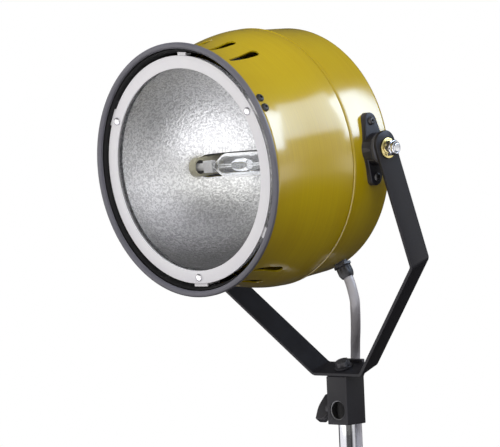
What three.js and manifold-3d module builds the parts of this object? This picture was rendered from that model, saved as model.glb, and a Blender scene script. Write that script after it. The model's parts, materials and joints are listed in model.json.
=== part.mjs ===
// Metal-halide work light: a drum-shaped flood head hung in a forked yoke on a 16 mm stand spigot.
// Millimetres, +Z up along the stand, the tilt axis parallel to X, the lamp shining towards -Y.
// The origin is the centre of the stand's cut end. Heights in the functions below are measured from
// the bottom face of the square receiver block, which sits a length of stand above the origin.

import * as THREE from 'three';
import Module from 'manifold-3d';
import { mergeVertices } from 'three/addons/utils/BufferGeometryUtils.js';

const wasm = await Module();
wasm.setup();

// ---------- driving dimensions ----------

const clearance = 0.3;               // gap left between neighbouring pieces
const spigotRadius = 8;              // 16 mm stand spigot
const spigotWaistRadius = 6.2;       // groove the wing screw bites into
const standLength = 60;              // stand modelled below the receiver
const spigotTop = 34;

const blockWidth = 25;               // square receiver block
const blockTop = 49.5;               // height of its sloping top, on the stand's axis
const crossBoreHeight = 13.5;
const crossBoreRadius = 8.3;
const wingScrewRadius = 4;           // M8

const yokeLean = 20.9;               // degrees the yoke leans towards the lamp's front
const barWidth = 25;                 // flat bar the yoke is bent from
const barThickness = 3;
const yokeHalfBase = 30;
const yokeHalfSpan = 131;            // stand axis to the arms' outer faces
const pivotRise = 216.4;             // base of the yoke up to the tilt axis
const armLength = 109;               // tilt axis down to the arms' bends
const armOverrun = 15.5;             // bar left above the tilt axis
const baseWasherThickness = 1.5;
const armWasherThickness = 1.6;

const headPitch = 5.8;               // degrees the lamp looks down
const pivotToRim = 121;              // tilt axis to the front of the rim
const rimRadius = 111.5;
const neckRadius = 105;
const bulgeRadius = 116.2;
const swellStart = 20;               // depths between which the drum swells from neck to bulge
const swellEnd = 92;
const sheet = 1.4;                   // drum wall
const seamDepth = 97.5;              // front of the rim back to the joint between the two drum shells
const drumDepth = 147;

const ringInnerRadius = 88.6;
const ringOuterRadius = 100;
const ringScrewRadius = 94.3;
const ringScrewAngles = [-60, 60, 180];   // degrees from the top of the head
const ringFront = 5;
const ringBack = 6.2;
const bracketScrewDepth = 14.5;
const bracketScrewSplit = 2.6;       // degrees each screw of a pair stands to one side of its bracket
const bowlRadius = 89.5;
const bowlStart = 13.4;
const bowlLength = 88;

const lampDepth = 74;                // front of the rim back to the lamp's axis
const lampDrop = 3.5;                // lamp axis below the drum's axis
const lampBulbRadius = 10.8;
const lampHalfLength = 57;
const bridgeFront = 104.6;           // front face of the plate that carries the lampholders
const bridgeBack = 106.6;

const coverRadius = 71;
const coverThickness = 2;
const coverScrewRadius = 66;
const coverScrewAngles = [45, 135, 225, 315];

const trunnionBoltRadius = 4;        // M8, like the bolt under the yoke
const trunnionFace = 117.5;          // stand axis to the outer faces of the trunnion castings
const bossFace = 124.1;              // and to the ends of their round bosses
const flangeScrewRise = 24.5;        // tilt axis up or down to the castings' screws
const m4HoleRadius = 2.2;
const m4ShankRadius = 1.9;

const glandDepth = 135;              // front of the rim back to the cable gland
const glandAngle = 154;              // degrees from the top of the head, towards +X
const cableRadius = 4.5;

const roundSegments = 40;            // facets round the drum
const smallSegments = 16;            // facets round washers and bosses
const screwSegments = 10;            // facets round the small screws

const degrees = Math.PI / 180;

// ---------- finishes ----------

const gold = { color: 0xb4a01e, metalness: 0.85, roughness: 0.35 };
const satinBlack = { color: 0x17171a, metalness: 0.2, roughness: 0.5 };
const darkGrey = { color: 0x55565c, metalness: 0.1, roughness: 0.5 };
const silver = { color: 0xdcdce0, metalness: 0.9, roughness: 0.3 };
const chrome = { color: 0xe6e8ea, metalness: 1.0, roughness: 0.08 };
const zinc = { color: 0xb9bcc0, metalness: 0.9, roughness: 0.35 };
const yellowZinc = { color: 0xc9b458, metalness: 0.9, roughness: 0.3 };
const ceramic = { color: 0xe9e6da, metalness: 0.0, roughness: 0.5 };
const clearGlass = { color: 0xffffff, metalness: 0.0, roughness: 0.05, transparent: true, opacity: 0.3 };
const greyRubber = { color: 0x77787a, metalness: 0.0, roughness: 0.7 };
const blackPlastic = { color: 0x1c1c1e, metalness: 0.0, roughness: 0.55 };
const greyPlastic = { color: 0x9a9aa0, metalness: 0.0, roughness: 0.45 };

// ---------- small tools ----------

// Turns a geometry's faces outwards if they face in.
function facingOut(geometry) {
  const position = geometry.getAttribute('position');
  const index = geometry.index.array;
  const a = new THREE.Vector3();
  const b = new THREE.Vector3();
  const c = new THREE.Vector3();
  let volume = 0;
  for (let i = 0; i < index.length; i += 3) {
    a.fromBufferAttribute(position, index[i]);
    b.fromBufferAttribute(position, index[i + 1]);
    c.fromBufferAttribute(position, index[i + 2]);
    volume += a.dot(b.cross(c));
  }
  if (volume < 0) {
    for (let i = 0; i < index.length; i += 3) {
      const first = index[i];
      index[i] = index[i + 1];
      index[i + 1] = first;
    }
  }
  return geometry;
}

// Joins a geometry's shared corners and drops the triangles that collapse on the axis of a lathe.
function welded(geometry) {
  const bare = geometry.clone();
  bare.deleteAttribute('normal');
  bare.deleteAttribute('uv');
  const merged = mergeVertices(bare, 1e-4);
  const kept = [];
  const index = merged.index.array;
  for (let i = 0; i < index.length; i += 3) {
    const [p, q, r] = [index[i], index[i + 1], index[i + 2]];
    if (p !== q && q !== r && r !== p) {
      kept.push(p, q, r);
    }
  }
  merged.setIndex(kept);
  return facingOut(merged);
}

function solidOf(geometry) {
  const clean = welded(geometry);
  return new wasm.Manifold(new wasm.Mesh({
    numProp: 3,
    vertProperties: new Float32Array(clean.getAttribute('position').array),
    triVerts: new Uint32Array(clean.index.array),
  }));
}

function geometryOf(solid) {
  const mesh = solid.getMesh();
  const geometry = new THREE.BufferGeometry();
  geometry.setAttribute('position', new THREE.BufferAttribute(new Float32Array(mesh.vertProperties), 3));
  geometry.setIndex(new THREE.BufferAttribute(new Uint32Array(mesh.triVerts), 1));
  geometry.computeVertexNormals();
  return geometry;
}

function cutAway(geometry, cutters) {
  let solid = solidOf(geometry);
  for (const cutter of cutters) {
    solid = solid.subtract(solidOf(cutter));
  }
  return geometryOf(solid);
}

function joined(geometries) {
  let solid = solidOf(geometries[0]);
  for (const extra of geometries.slice(1)) {
    solid = solid.add(solidOf(extra));
  }
  return geometryOf(solid);
}

function piece(name, geometry, finish) {
  const clean = welded(geometry);
  clean.computeVertexNormals();
  const mesh = new THREE.Mesh(clean, new THREE.MeshStandardMaterial(finish));
  mesh.name = name;
  return mesh;
}

// A body of revolution about the head's own axis; each point is [radius, distance behind the rim's front].
function headLathe(profile, segments = roundSegments) {
  const points = profile.map(([radius, depth]) => new THREE.Vector2(radius, depth - pivotToRim));
  return new THREE.LatheGeometry(points, segments);
}

// A body of revolution about Z; each point is [radius, height].
function uprightLathe(profile, segments = smallSegments) {
  const points = profile.map(([radius, height]) => new THREE.Vector2(radius, height));
  const geometry = new THREE.LatheGeometry(points, segments);
  geometry.rotateX(Math.PI / 2);
  return geometry;
}

// A plain disc or rod along X, from one X to another.
function rodAlongX(radius, from, to, segments = smallSegments) {
  const geometry = new THREE.CylinderGeometry(radius, radius, Math.abs(to - from), segments);
  geometry.rotateZ(Math.PI / 2);
  geometry.translate((from + to) / 2, 0, 0);
  return geometry;
}

function rodAlongZ(radius, from, to, segments = smallSegments) {
  const geometry = new THREE.CylinderGeometry(radius, radius, Math.abs(to - from), segments);
  geometry.rotateX(Math.PI / 2);
  geometry.translate(0, 0, (from + to) / 2);
  return geometry;
}

// A washer or collar about X.
function collarAlongX(inner, outer, from, to, segments = smallSegments) {
  const points = [[inner, from], [outer, from], [outer, to], [inner, to], [inner, from]];
  const geometry = uprightLathe(points, segments);
  geometry.rotateY(Math.PI / 2);
  return geometry;
}

// Moves a piece drawn about +Z (pointing up) to stand outwards on the drum.
function placeOnDrum(geometry, depth, angle) {
  geometry.rotateY(angle * degrees);
  geometry.translate(0, depth - pivotToRim, 0);
  return geometry;
}

// Moves a piece drawn in the top of the head round the head's axis.
function turnRound(geometry, angle) {
  geometry.rotateY(angle * degrees);
  return geometry;
}

// A closed outline with its corners rounded by true arcs; each point is [x, y, corner radius].
function roundedOutline(points) {
  const shape = new THREE.Shape();
  const count = points.length;
  for (let i = 0; i < count; i += 1) {
    const before = new THREE.Vector2(...points[(i + count - 1) % count]);
    const corner = new THREE.Vector2(points[i][0], points[i][1]);
    const after = new THREE.Vector2(...points[(i + 1) % count]);
    const radius = points[i][2];
    const inward = before.clone().sub(corner).normalize();
    const outward = after.clone().sub(corner).normalize();
    const halfAngle = Math.acos(THREE.MathUtils.clamp(inward.dot(outward), -1, 1)) / 2;
    if (radius === 0) {
      if (i === 0) {
        shape.moveTo(corner.x, corner.y);
      } else {
        shape.lineTo(corner.x, corner.y);
      }
      continue;
    }
    const reach = radius / Math.tan(halfAngle);
    const start = corner.clone().addScaledVector(inward, reach);
    const end = corner.clone().addScaledVector(outward, reach);
    const middle = inward.clone().add(outward).normalize();
    const centre = corner.clone().addScaledVector(middle, radius / Math.sin(halfAngle));
    const turnsClockwise = inward.cross(outward) > 0;
    const from = Math.atan2(start.y - centre.y, start.x - centre.x);
    const to = Math.atan2(end.y - centre.y, end.x - centre.x);
    if (i === 0) {
      shape.moveTo(start.x, start.y);
    }
    shape.absarc(centre.x, centre.y, radius, from, to, turnsClockwise);
  }
  shape.closePath();
  return shape;
}

function extruded(shape, depth, curveSegments = 6) {
  return new THREE.ExtrudeGeometry(shape, { depth, bevelEnabled: false, curveSegments });
}

// Lays an outline drawn in X and Y into the XZ plane, centred on Y = 0.
function standUp(geometry, depth) {
  geometry.translate(0, 0, -depth / 2);
  geometry.rotateX(Math.PI / 2);
  return geometry;
}

// Lays an outline drawn in X and Y so that X runs along Y, Y along Z, and the extrusion along X.
function faceSideways(geometry) {
  const basis = new THREE.Matrix4().makeBasis(
    new THREE.Vector3(0, 1, 0),
    new THREE.Vector3(0, 0, 1),
    new THREE.Vector3(1, 0, 0),
  );
  geometry.applyMatrix4(basis);
  return geometry;
}

// A six-sided prism along Z, as wide across its flats as stated.
function hexPrism(acrossFlats, from, to) {
  return rodAlongZ(acrossFlats / 2 / Math.cos(30 * degrees), from, to, 6);
}

// ---------- stand and receiver ----------

function standTube() {
  const bevel = 1.5;
  const waistLow = crossBoreHeight - 5;
  const waistHigh = crossBoreHeight + 5;
  const profile = [
    [0, -standLength],
    [spigotRadius, -standLength],
    [spigotRadius, waistLow - bevel],
    [spigotWaistRadius, waistLow],
    [spigotWaistRadius, waistHigh],
    [spigotRadius, waistHigh + bevel],
    [spigotRadius, spigotTop - bevel],
    [spigotRadius - bevel, spigotTop],
    [0, spigotTop],
  ];
  return piece('stand_tube', uprightLathe(profile, 24), chrome);
}

function receiverBlock() {
  const half = blockWidth / 2;
  const slope = Math.tan(yokeLean * degrees);
  const lugFront = half - 1.1;
  const lugTop = blockTop + 10.2;
  const lugBack = half + 2;
  const top = blockTop - clearance;
  const side = roundedOutline([
    [-half, 0, 0.8],
    [half, 0, 0.8],
    [half, blockTop - 6, 0],
    [lugBack, blockTop - 3, 1],
    [lugBack, lugTop, 1],
    [lugFront - 2.1, lugTop, 0.6],
    [lugFront + 0.6, top + (lugFront + 0.6) * slope, 0],
    [-half, top - half * slope, 0.8],
  ]);
  const body = faceSideways(extruded(side, blockWidth, 4));
  body.translate(-half, 0, 0);

  const spigotSocket = rodAlongZ(spigotRadius + clearance, -1, spigotTop + 1, 24);
  const crossBore = new THREE.CylinderGeometry(crossBoreRadius, crossBoreRadius, blockWidth + 2, 24);
  crossBore.translate(0, 0, crossBoreHeight);
  const lead = crossBoreRadius + 1.5;
  const frontChamfer = new THREE.CylinderGeometry(crossBoreRadius, lead, 2, 24);
  frontChamfer.translate(0, -half, crossBoreHeight);
  const backChamfer = new THREE.CylinderGeometry(lead, crossBoreRadius, 2, 24);
  backChamfer.translate(0, half, crossBoreHeight);
  const screwHole = rodAlongX(wingScrewRadius + clearance, -half - 1, 0);
  screwHole.translate(0, 0, crossBoreHeight);
  const boltHole = rodAlongZ(trunnionBoltRadius + clearance, -12, 10);
  boltHole.rotateX(yokeLean * degrees);
  boltHole.translate(0, 0, blockTop);

  const geometry = cutAway(body, [spigotSocket, crossBore, frontChamfer, backChamfer, screwHole, boltHole]);
  return piece('receiver_block', geometry, satinBlack);
}

function wingScrew() {
  const stem = rodAlongX(wingScrewRadius, -20.5, -spigotWaistRadius - 0.2);
  stem.translate(0, 0, crossBoreHeight);
  return piece('wing_screw', stem, zinc);
}

function wingKnob() {
  const wings = roundedOutline([
    [-16, -5.5, 1.5],
    [-21.5, -13.5, 2.5],
    [-30.5, -13.5, 2],
    [-33.5, 0, 22],
    [-30.5, 13.5, 2],
    [-21.5, 13.5, 2.5],
    [-16, 5.5, 1.5],
  ]);
  const blade = standUp(extruded(wings, 7, 5), 7);
  const hub = rodAlongX(6.6, -22, -13.2);
  const stemHole = rodAlongX(wingScrewRadius + clearance, -20.8, -12);
  const knob = cutAway(joined([blade, hub]), [stemHole]);
  knob.rotateX(-35 * degrees);
  knob.translate(0, 0, crossBoreHeight);
  return piece('wing_knob', knob, blackPlastic);
}

// ---------- yoke ----------

// The yoke's own frame: X as the row, Z up its stem, Y towards its back, on the base's underside.
function yokeBracket() {
  const top = pivotRise + armOverrun;
  const bend = pivotRise - armLength;
  const branchAngle = Math.atan2(bend, yokeHalfSpan - yokeHalfBase);
  const t = barThickness;
  const lowShift = t * Math.tan(branchAngle / 2);
  const highShift = t * Math.tan((Math.PI / 2 - branchAngle) / 2);
  const outerBend = 7;
  const innerBend = outerBend - t;
  const right = [
    [yokeHalfBase, 0, outerBend],
    [yokeHalfSpan, bend, outerBend],
    [yokeHalfSpan, top, 0],
    [yokeHalfSpan - t, top, 0],
    [yokeHalfSpan - t, bend + highShift, innerBend],
    [yokeHalfBase - lowShift, t, innerBend],
  ];
  const left = right.map(([x, z, radius]) => [-x, z, radius]).reverse();
  const strip = standUp(extruded(roundedOutline([...right, ...left]), barWidth, 5), barWidth);

  const cornerRadius = barWidth / 2 - 0.6;
  const sideView = roundedOutline([
    [-barWidth / 2 - 1, -1, 0],
    [barWidth / 2 + 1, -1, 0],
    [barWidth / 2 + 1, bend, 0],
    [barWidth / 2, bend, 0],
    [barWidth / 2, top, cornerRadius],
    [-barWidth / 2, top, cornerRadius],
    [-barWidth / 2, bend, 0],
    [-barWidth / 2 - 1, bend, 0],
  ]);
  const reach = yokeHalfSpan + 5;
  const envelope = faceSideways(extruded(sideView, 2 * reach, 8));
  envelope.translate(-reach, 0, 0);

  const pivotHole = rodAlongX(trunnionBoltRadius + clearance, -reach, reach);
  pivotHole.translate(0, 0, pivotRise);
  const baseHole = rodAlongZ(trunnionBoltRadius + clearance, -2, 6);
  const bar = solidOf(strip).intersect(solidOf(envelope));
  const drilled = bar.subtract(solidOf(pivotHole)).subtract(solidOf(baseHole));
  return piece('yoke_bracket', geometryOf(drilled), satinBlack);
}

function baseWasher() {
  const bottom = barThickness + clearance;
  const top = bottom + baseWasherThickness;
  const hole = trunnionBoltRadius + clearance;
  const edge = 8.5;
  const washer = uprightLathe([[hole, bottom], [edge, bottom], [edge, top], [hole, top], [hole, bottom]]);
  return piece('base_washer', washer, satinBlack);
}

function baseBolt() {
  const seat = barThickness + 2 * clearance + baseWasherThickness;
  const head = hexPrism(12.6, seat, seat + 5.4);
  const shank = rodAlongZ(trunnionBoltRadius, -10.5, seat + 1);
  return piece('base_bolt', joined([head, shank]), blackPlastic);
}

function armWasher(name, side) {
  const start = yokeHalfSpan + clearance;
  const hole = trunnionBoltRadius + clearance;
  const washer = collarAlongX(hole, 9, start, start + armWasherThickness);
  washer.translate(0, 0, pivotRise);
  if (side < 0) {
    washer.rotateZ(Math.PI);
  }
  return piece(name, washer, yellowZinc);
}

function frictionDisc(name, side) {
  const armInside = yokeHalfSpan - barThickness;
  const hole = trunnionBoltRadius + clearance;
  const disc = collarAlongX(hole, 14.2, bossFace + clearance, armInside - clearance, 20);
  disc.translate(0, 0, pivotRise);
  if (side < 0) {
    disc.rotateZ(Math.PI);
  }
  return piece(name, disc, blackPlastic);
}

// ---------- head: drum and rim ----------

// Outside radius of the front shell: a straight neck that swells smoothly to the bulge.
function frontShellRadius(depth) {
  const t = THREE.MathUtils.clamp((depth - swellStart) / (swellEnd - swellStart), 0, 1);
  return neckRadius + (bulgeRadius - neckRadius) * (1 - Math.cos(Math.PI * t)) / 2;
}

// A teardrop slot seen from outside, its narrow end towards the rim, drawn on the top of the drum.
function ventCutter() {
  const ventFront = 20;
  const ventBack = 53;
  const frontRadius = 1.7;
  const backRadius = 4.6;
  const outline = new THREE.Shape();
  const length = (ventBack - backRadius) - (ventFront + frontRadius);
  const flank = Math.asin((backRadius - frontRadius) / length);
  const frontCentre = ventFront + frontRadius - pivotToRim;
  const backCentre = ventBack - backRadius - pivotToRim;
  outline.absarc(0, frontCentre, frontRadius, Math.PI + flank, 2 * Math.PI - flank, false);
  outline.absarc(0, backCentre, backRadius, -flank, Math.PI + flank, false);
  outline.closePath();
  const cutter = extruded(outline, 24, 3);
  cutter.translate(0, 0, 92);
  return cutter;
}

function ventCutters() {
  const fan = [-30, -15, 0, 15, 30];
  const cutters = [];
  for (const side of [0, 180]) {
    for (const angle of fan) {
      cutters.push(turnRound(ventCutter(), side + angle));
    }
  }
  return cutters;
}

function bracketScrewAngles() {
  return ringScrewAngles.flatMap((angle) => [angle - bracketScrewSplit, angle + bracketScrewSplit]);
}

function bracketHoles() {
  return bracketScrewAngles().map((angle) => (
    placeOnDrum(rodAlongZ(m4HoleRadius, 95, 112, screwSegments), bracketScrewDepth, angle)
  ));
}

function frontDrum() {
  const lipDepth = 3.8;
  const lipRadius = 110.4;
  const outer = [
    [lipRadius - 0.8, lipDepth],
    [lipRadius, lipDepth + 0.8],
    [lipRadius - 3.2, lipDepth + 3.2],
    [neckRadius, lipDepth + 7.2],
  ];
  const outerSteps = 7;
  for (let i = 0; i <= outerSteps; i += 1) {
    const depth = THREE.MathUtils.lerp(swellStart, swellEnd, i / outerSteps);
    outer.push([frontShellRadius(depth), depth]);
  }
  const beadRadius = bulgeRadius + 0.2;
  outer.push([bulgeRadius - 1, seamDepth - 4.3]);
  outer.push([beadRadius, seamDepth - 2.9]);
  outer.push([beadRadius, seamDepth - 1.5]);
  outer.push([bulgeRadius - 1.2, seamDepth]);
  const inner = [[bulgeRadius - 1.2 - sheet, seamDepth]];
  const innerSteps = 4;
  for (let i = innerSteps; i >= 0; i -= 1) {
    const depth = THREE.MathUtils.lerp(swellStart, swellEnd, i / innerSteps);
    inner.push([frontShellRadius(depth) - sheet, depth]);
  }
  inner.push([neckRadius - sheet, lipDepth + 7.8]);
  inner.push([lipRadius - 4, lipDepth + 2.6]);
  const profile = [...outer, ...inner, outer[0]];
  const geometry = cutAway(headLathe(profile), [...ventCutters(), ...bracketHoles()]);
  return piece('front_drum', geometry, gold);
}

function rearShellRadius(depth) {
  return THREE.MathUtils.mapLinear(depth, seamDepth, drumDepth, 114.5, 112.4);
}

function coverScrewHole(angle) {
  const hole = new THREE.CylinderGeometry(m4HoleRadius, m4HoleRadius, 8, screwSegments);
  hole.translate(0, drumDepth + 1 - pivotToRim, coverScrewRadius);
  return turnRound(hole, angle);
}

function flangeScrewHoles() {
  const from = 100;
  const to = 125;
  const holes = [];
  for (const side of [1, -1]) {
    for (const rise of [flangeScrewRise, -flangeScrewRise]) {
      const hole = rodAlongX(m4HoleRadius, from * side, to * side, screwSegments);
      hole.translate(0, 0, rise);
      holes.push(hole);
    }
  }
  return holes;
}

function rearDrum() {
  const start = seamDepth + clearance;
  const backHoleRadius = 58;
  const cornerRadius = 5;
  const outer = [
    [rearShellRadius(start), start],
    [rearShellRadius(120), 120],
  ];
  const cornerCentreDepth = drumDepth - cornerRadius;
  const cornerCentreRadius = rearShellRadius(cornerCentreDepth) - cornerRadius;
  for (let i = 0; i <= 3; i += 1) {
    const turn = 90 * i / 3 * degrees;
    outer.push([
      cornerCentreRadius + cornerRadius * Math.cos(turn),
      cornerCentreDepth + cornerRadius * Math.sin(turn),
    ]);
  }
  const profile = [
    ...outer,
    [backHoleRadius, drumDepth],
    [backHoleRadius, drumDepth - sheet],
    [cornerCentreRadius, drumDepth - sheet],
    [cornerCentreRadius + cornerRadius - sheet, cornerCentreDepth],
    [rearShellRadius(start) - sheet, start],
    outer[0],
  ];
  const glandHole = placeOnDrum(rodAlongZ(6.6, 100, 120), glandDepth, glandAngle);
  const cutters = [glandHole, ...flangeScrewHoles(), ...coverScrewAngles.map(coverScrewHole)];
  return piece('rear_drum', cutAway(headLathe(profile), cutters), gold);
}

function rearCover() {
  const front = drumDepth + clearance;
  const back = front + coverThickness;
  const profile = [
    [0, front],
    [coverRadius, front],
    [coverRadius, back - 0.8],
    [coverRadius - 0.8, back],
    [0, back],
  ];
  const cover = cutAway(headLathe(profile), coverScrewAngles.map(coverScrewHole));
  return piece('rear_cover', cover, satinBlack);
}

// The profile of an M4 button-head screw about its own axis, its head beyond the seat.
function buttonScrewProfile(tip, seat) {
  const headRadius = 3.8;
  const headHeight = 2.1;
  return [
    [0, tip],
    [m4ShankRadius, tip],
    [m4ShankRadius, seat],
    [headRadius, seat],
    [headRadius, seat + 0.4 * headHeight],
    [0.65 * headRadius, seat + headHeight],
    [0, seat + headHeight],
  ];
}

function coverScrew(number, angle) {
  const seat = drumDepth + 2 * clearance + coverThickness;
  const screw = headLathe(buttonScrewProfile(seat - 6, seat), screwSegments);
  screw.translate(0, 0, coverScrewRadius);
  return piece(`cover_screw_${number}`, turnRound(screw, angle), blackPlastic);
}

function frontRim() {
  const inner = 106.1;
  const back = 3.5;
  const noseCentre = (inner + rimRadius) / 2;
  const noseHalf = (rimRadius - inner) / 2;
  const profile = [[inner, back]];
  const steps = 6;
  for (let i = 0; i <= steps; i += 1) {
    const turn = Math.PI * i / steps;
    profile.push([noseCentre - noseHalf * Math.cos(turn), 2.2 - 2.2 * Math.sin(turn)]);
  }
  profile.push([rimRadius, back]);
  profile.push([inner, back]);
  return piece('front_rim', headLathe(profile), darkGrey);
}

function lightBaffle() {
  const wall = 1;
  const inside = neckRadius - sheet - clearance - wall;
  const lip = 105;
  const lipDepth = 3.9;
  const coneEnd = 11;
  const back = 38;
  const profile = [
    [lip, lipDepth],
    [inside, coneEnd],
    [inside, back],
    [inside + wall, back],
    [inside + wall, coneEnd],
    [lip + 0.6, lipDepth + 1.1],
    [lip, lipDepth],
  ];
  return piece('light_baffle', cutAway(headLathe(profile), bracketHoles()), satinBlack);
}

// ---------- head: ring, glass and reflector ----------

const tabFront = ringBack + clearance;
const tabBack = tabFront + 1.2;

function ringScrewHole(angle) {
  const hole = new THREE.CylinderGeometry(m4HoleRadius, m4HoleRadius, 16, screwSegments);
  hole.translate(0, ringFront + 2 - pivotToRim, ringScrewRadius);
  return turnRound(hole, angle);
}

function retainingRing() {
  const profile = [
    [ringInnerRadius, ringFront + 0.3],
    [ringInnerRadius + 0.3, ringFront],
    [ringOuterRadius - 0.3, ringFront],
    [ringOuterRadius, ringFront + 0.3],
    [ringOuterRadius, ringBack],
    [ringInnerRadius, ringBack],
    [ringInnerRadius, ringFront + 0.3],
  ];
  const ring = cutAway(headLathe(profile), ringScrewAngles.map(ringScrewHole));
  return piece('retaining_ring', ring, silver);
}

function ringScrew(number, angle) {
  const seat = ringFront - clearance;
  const screw = headLathe([
    [0, seat - 2],
    [1.9, seat - 1.7],
    [3.2, seat - 0.8],
    [3.5, seat],
    [m4ShankRadius, seat],
    [m4ShankRadius, seat + 6],
    [0, seat + 6],
  ], screwSegments);
  screw.translate(0, 0, ringScrewRadius);
  return piece(`ring_screw_${number}`, turnRound(screw, angle), silver);
}

function boxBetween(low, high) {
  const size = high.map((value, i) => value - low[i]);
  const box = new THREE.BoxGeometry(...size);
  box.translate(low[0] + size[0] / 2, low[1] + size[1] / 2, low[2] + size[2] / 2);
  return box;
}

function ringBracket(number, angle) {
  const halfWidth = 8;
  const tab = boxBetween(
    [-halfWidth, tabFront - pivotToRim, 92.2],
    [halfWidth, tabBack - pivotToRim, 102.5],
  );
  const leg = boxBetween(
    [-halfWidth, tabFront - pivotToRim, 100],
    [halfWidth, 22 - pivotToRim, 101.2],
  );
  const bent = turnRound(joined([tab, leg]), angle);
  const holes = [ringScrewHole(angle), ...bracketHoles()];
  return piece(`ring_bracket_${number}`, cutAway(bent, holes), silver);
}

function bracketScrew(number, angle) {
  const seat = neckRadius + clearance;
  const screw = uprightLathe(buttonScrewProfile(seat - 6.5, seat), screwSegments);
  return piece(`bracket_screw_${number}`, placeOnDrum(screw, bracketScrewDepth, angle), blackPlastic);
}

function glassClip(name, angle) {
  const clip = boxBetween([-5, tabFront - pivotToRim, 96], [5, tabBack - pivotToRim, 102.6]);
  const foot = boxBetween([-5, tabFront - pivotToRim, 101.4 - 1.2], [5, 13 - pivotToRim, 101.4]);
  return piece(name, turnRound(joined([clip, foot]), angle), silver);
}

function glassGasket() {
  const front = tabFront;
  const profile = [
    [ringInnerRadius + 0.2, front],
    [91.4, front],
    [91.4, front + 1.7],
    [ringInnerRadius + 0.2, front + 1.7],
    [ringInnerRadius + 0.2, front],
  ];
  return piece('glass_gasket', headLathe(profile), greyRubber);
}

function frontGlass() {
  const front = tabFront + 2;
  const back = front + 3.4;
  const edge = 91.8;
  return piece('front_glass', headLathe([[0, front], [edge, front], [edge, back], [0, back]]), clearGlass);
}

function reflector() {
  const wall = 1.1;
  const rings = 8;
  const inside = [];
  const outside = [];
  for (let i = 0; i <= rings; i += 1) {
    const turn = 90 * i / rings * degrees;
    inside.push([bowlRadius * Math.sin(turn), bowlStart + bowlLength * Math.cos(turn)]);
    outside.push([(bowlRadius + wall) * Math.sin(turn), bowlStart + (bowlLength + wall) * Math.cos(turn)]);
  }
  inside[0][0] = 0;
  outside[0][0] = 0;
  const flangeFront = bowlStart - 1.2;
  outside.pop();
  const profile = [
    ...inside,
    [bowlRadius, flangeFront],
    [98.6, flangeFront],
    [98.6, bowlStart],
    [bowlRadius + wall, bowlStart],
    ...outside.reverse(),
  ];
  const slotHalfHeight = 10.6;
  const slotHalfLength = 64;
  const slotOutline = new THREE.Shape();
  const endCentre = slotHalfLength - slotHalfHeight;
  slotOutline.absarc(endCentre, -lampDrop, slotHalfHeight, -Math.PI / 2, Math.PI / 2, false);
  slotOutline.absarc(-endCentre, -lampDrop, slotHalfHeight, Math.PI / 2, 3 * Math.PI / 2, false);
  slotOutline.closePath();
  const slot = extruded(slotOutline, 60, 6);
  slot.rotateX(Math.PI / 2);
  slot.translate(0, 120 - pivotToRim, 0);
  return piece('reflector', cutAway(headLathe(profile), [slot]), silver);
}

// ---------- head: lamp and its supports ----------

// Moves a body of revolution about Z onto the lamp's axis, along X.
function onLampAxis(geometry) {
  geometry.rotateY(Math.PI / 2);
  geometry.translate(0, lampDepth - pivotToRim, -lampDrop);
  return geometry;
}

function lampEnvelope() {
  const shoulder = 25;
  const neck = 34;
  const glass = 1.2;
  const outer = [[3.4, -neck], [lampBulbRadius - 1.5, -shoulder - 3], [lampBulbRadius, -shoulder]];
  const mirrored = outer.map(([radius, along]) => [radius, -along]).reverse();
  const skin = [...outer, ...mirrored];
  const inside = skin.map(([radius, along]) => [radius - glass, along]).reverse();
  const bulb = uprightLathe([...skin, ...inside, skin[0]], 16);
  return piece('lamp_envelope', onLampAxis(bulb), clearGlass);
}

function arcTube() {
  const legEnd = 35.4;
  const legRadius = 1.3;
  const half = 12;
  const profile = [[0, -legEnd], [legRadius, -legEnd], [legRadius, -half]];
  const steps = 6;
  for (let i = 1; i < steps; i += 1) {
    const turn = Math.PI * i / steps;
    profile.push([legRadius + 4.4 * Math.sin(turn), -half * Math.cos(turn)]);
  }
  profile.push([legRadius, half], [legRadius, legEnd], [0, legEnd]);
  return piece('arc_tube', onLampAxis(uprightLathe(profile, 12)), ceramic);
}

function lampCap(name, side) {
  const start = 35.8;
  const shoulder = 50.8;
  const pinch = boxBetween([start, -3.4, -5.6], [shoulder, 3.4, 5.6]);
  const nose = rodAlongX(3.6, shoulder - 1, lampHalfLength, 16);
  const cap = joined([pinch, nose]);
  if (side < 0) {
    cap.rotateZ(Math.PI);
  }
  cap.translate(0, lampDepth - pivotToRim, -lampDrop);
  return piece(name, cap, ceramic);
}

function lampholder(name, side) {
  const radius = 7;
  const near = 51.6;
  const far = 60.2;
  const outline = new THREE.Shape();
  outline.absarc(0, 0, radius, 0, Math.PI, false);
  outline.lineTo(-radius, -(bridgeFront - clearance - lampDepth));
  outline.lineTo(radius, -(bridgeFront - clearance - lampDepth));
  outline.closePath();
  const post = extruded(outline, far - near, 8);
  const basis = new THREE.Matrix4().makeBasis(
    new THREE.Vector3(0, 0, 1),
    new THREE.Vector3(0, -1, 0),
    new THREE.Vector3(1, 0, 0),
  );
  post.applyMatrix4(basis);
  post.translate(near, 0, 0);
  const socket = rodAlongX(3.6 + clearance, near - 1, lampHalfLength + 0.6, 16);
  const holder = cutAway(post, [socket]);
  if (side < 0) {
    holder.rotateY(Math.PI);
  }
  holder.translate(0, lampDepth - pivotToRim, -lampDrop);
  return piece(name, holder, ceramic);
}

// A channel of sheet steel: a cross-plate behind the reflector on two legs from the drum's back.
function lampBridge() {
  const half = 76;
  const sheetSteel = 2;
  const height = 11;
  const back = drumDepth - sheet - clearance;
  const plate = boxBetween(
    [-half, bridgeFront - pivotToRim, -lampDrop - height],
    [half, bridgeBack - pivotToRim, -lampDrop + height],
  );
  const legs = [half - sheetSteel, -half].map((x) => boxBetween(
    [x, bridgeFront - pivotToRim, -lampDrop - height],
    [x + sheetSteel, back - pivotToRim, -lampDrop + height],
  ));
  return piece('lamp_bridge', joined([plate, ...legs]), satinBlack);
}

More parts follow.
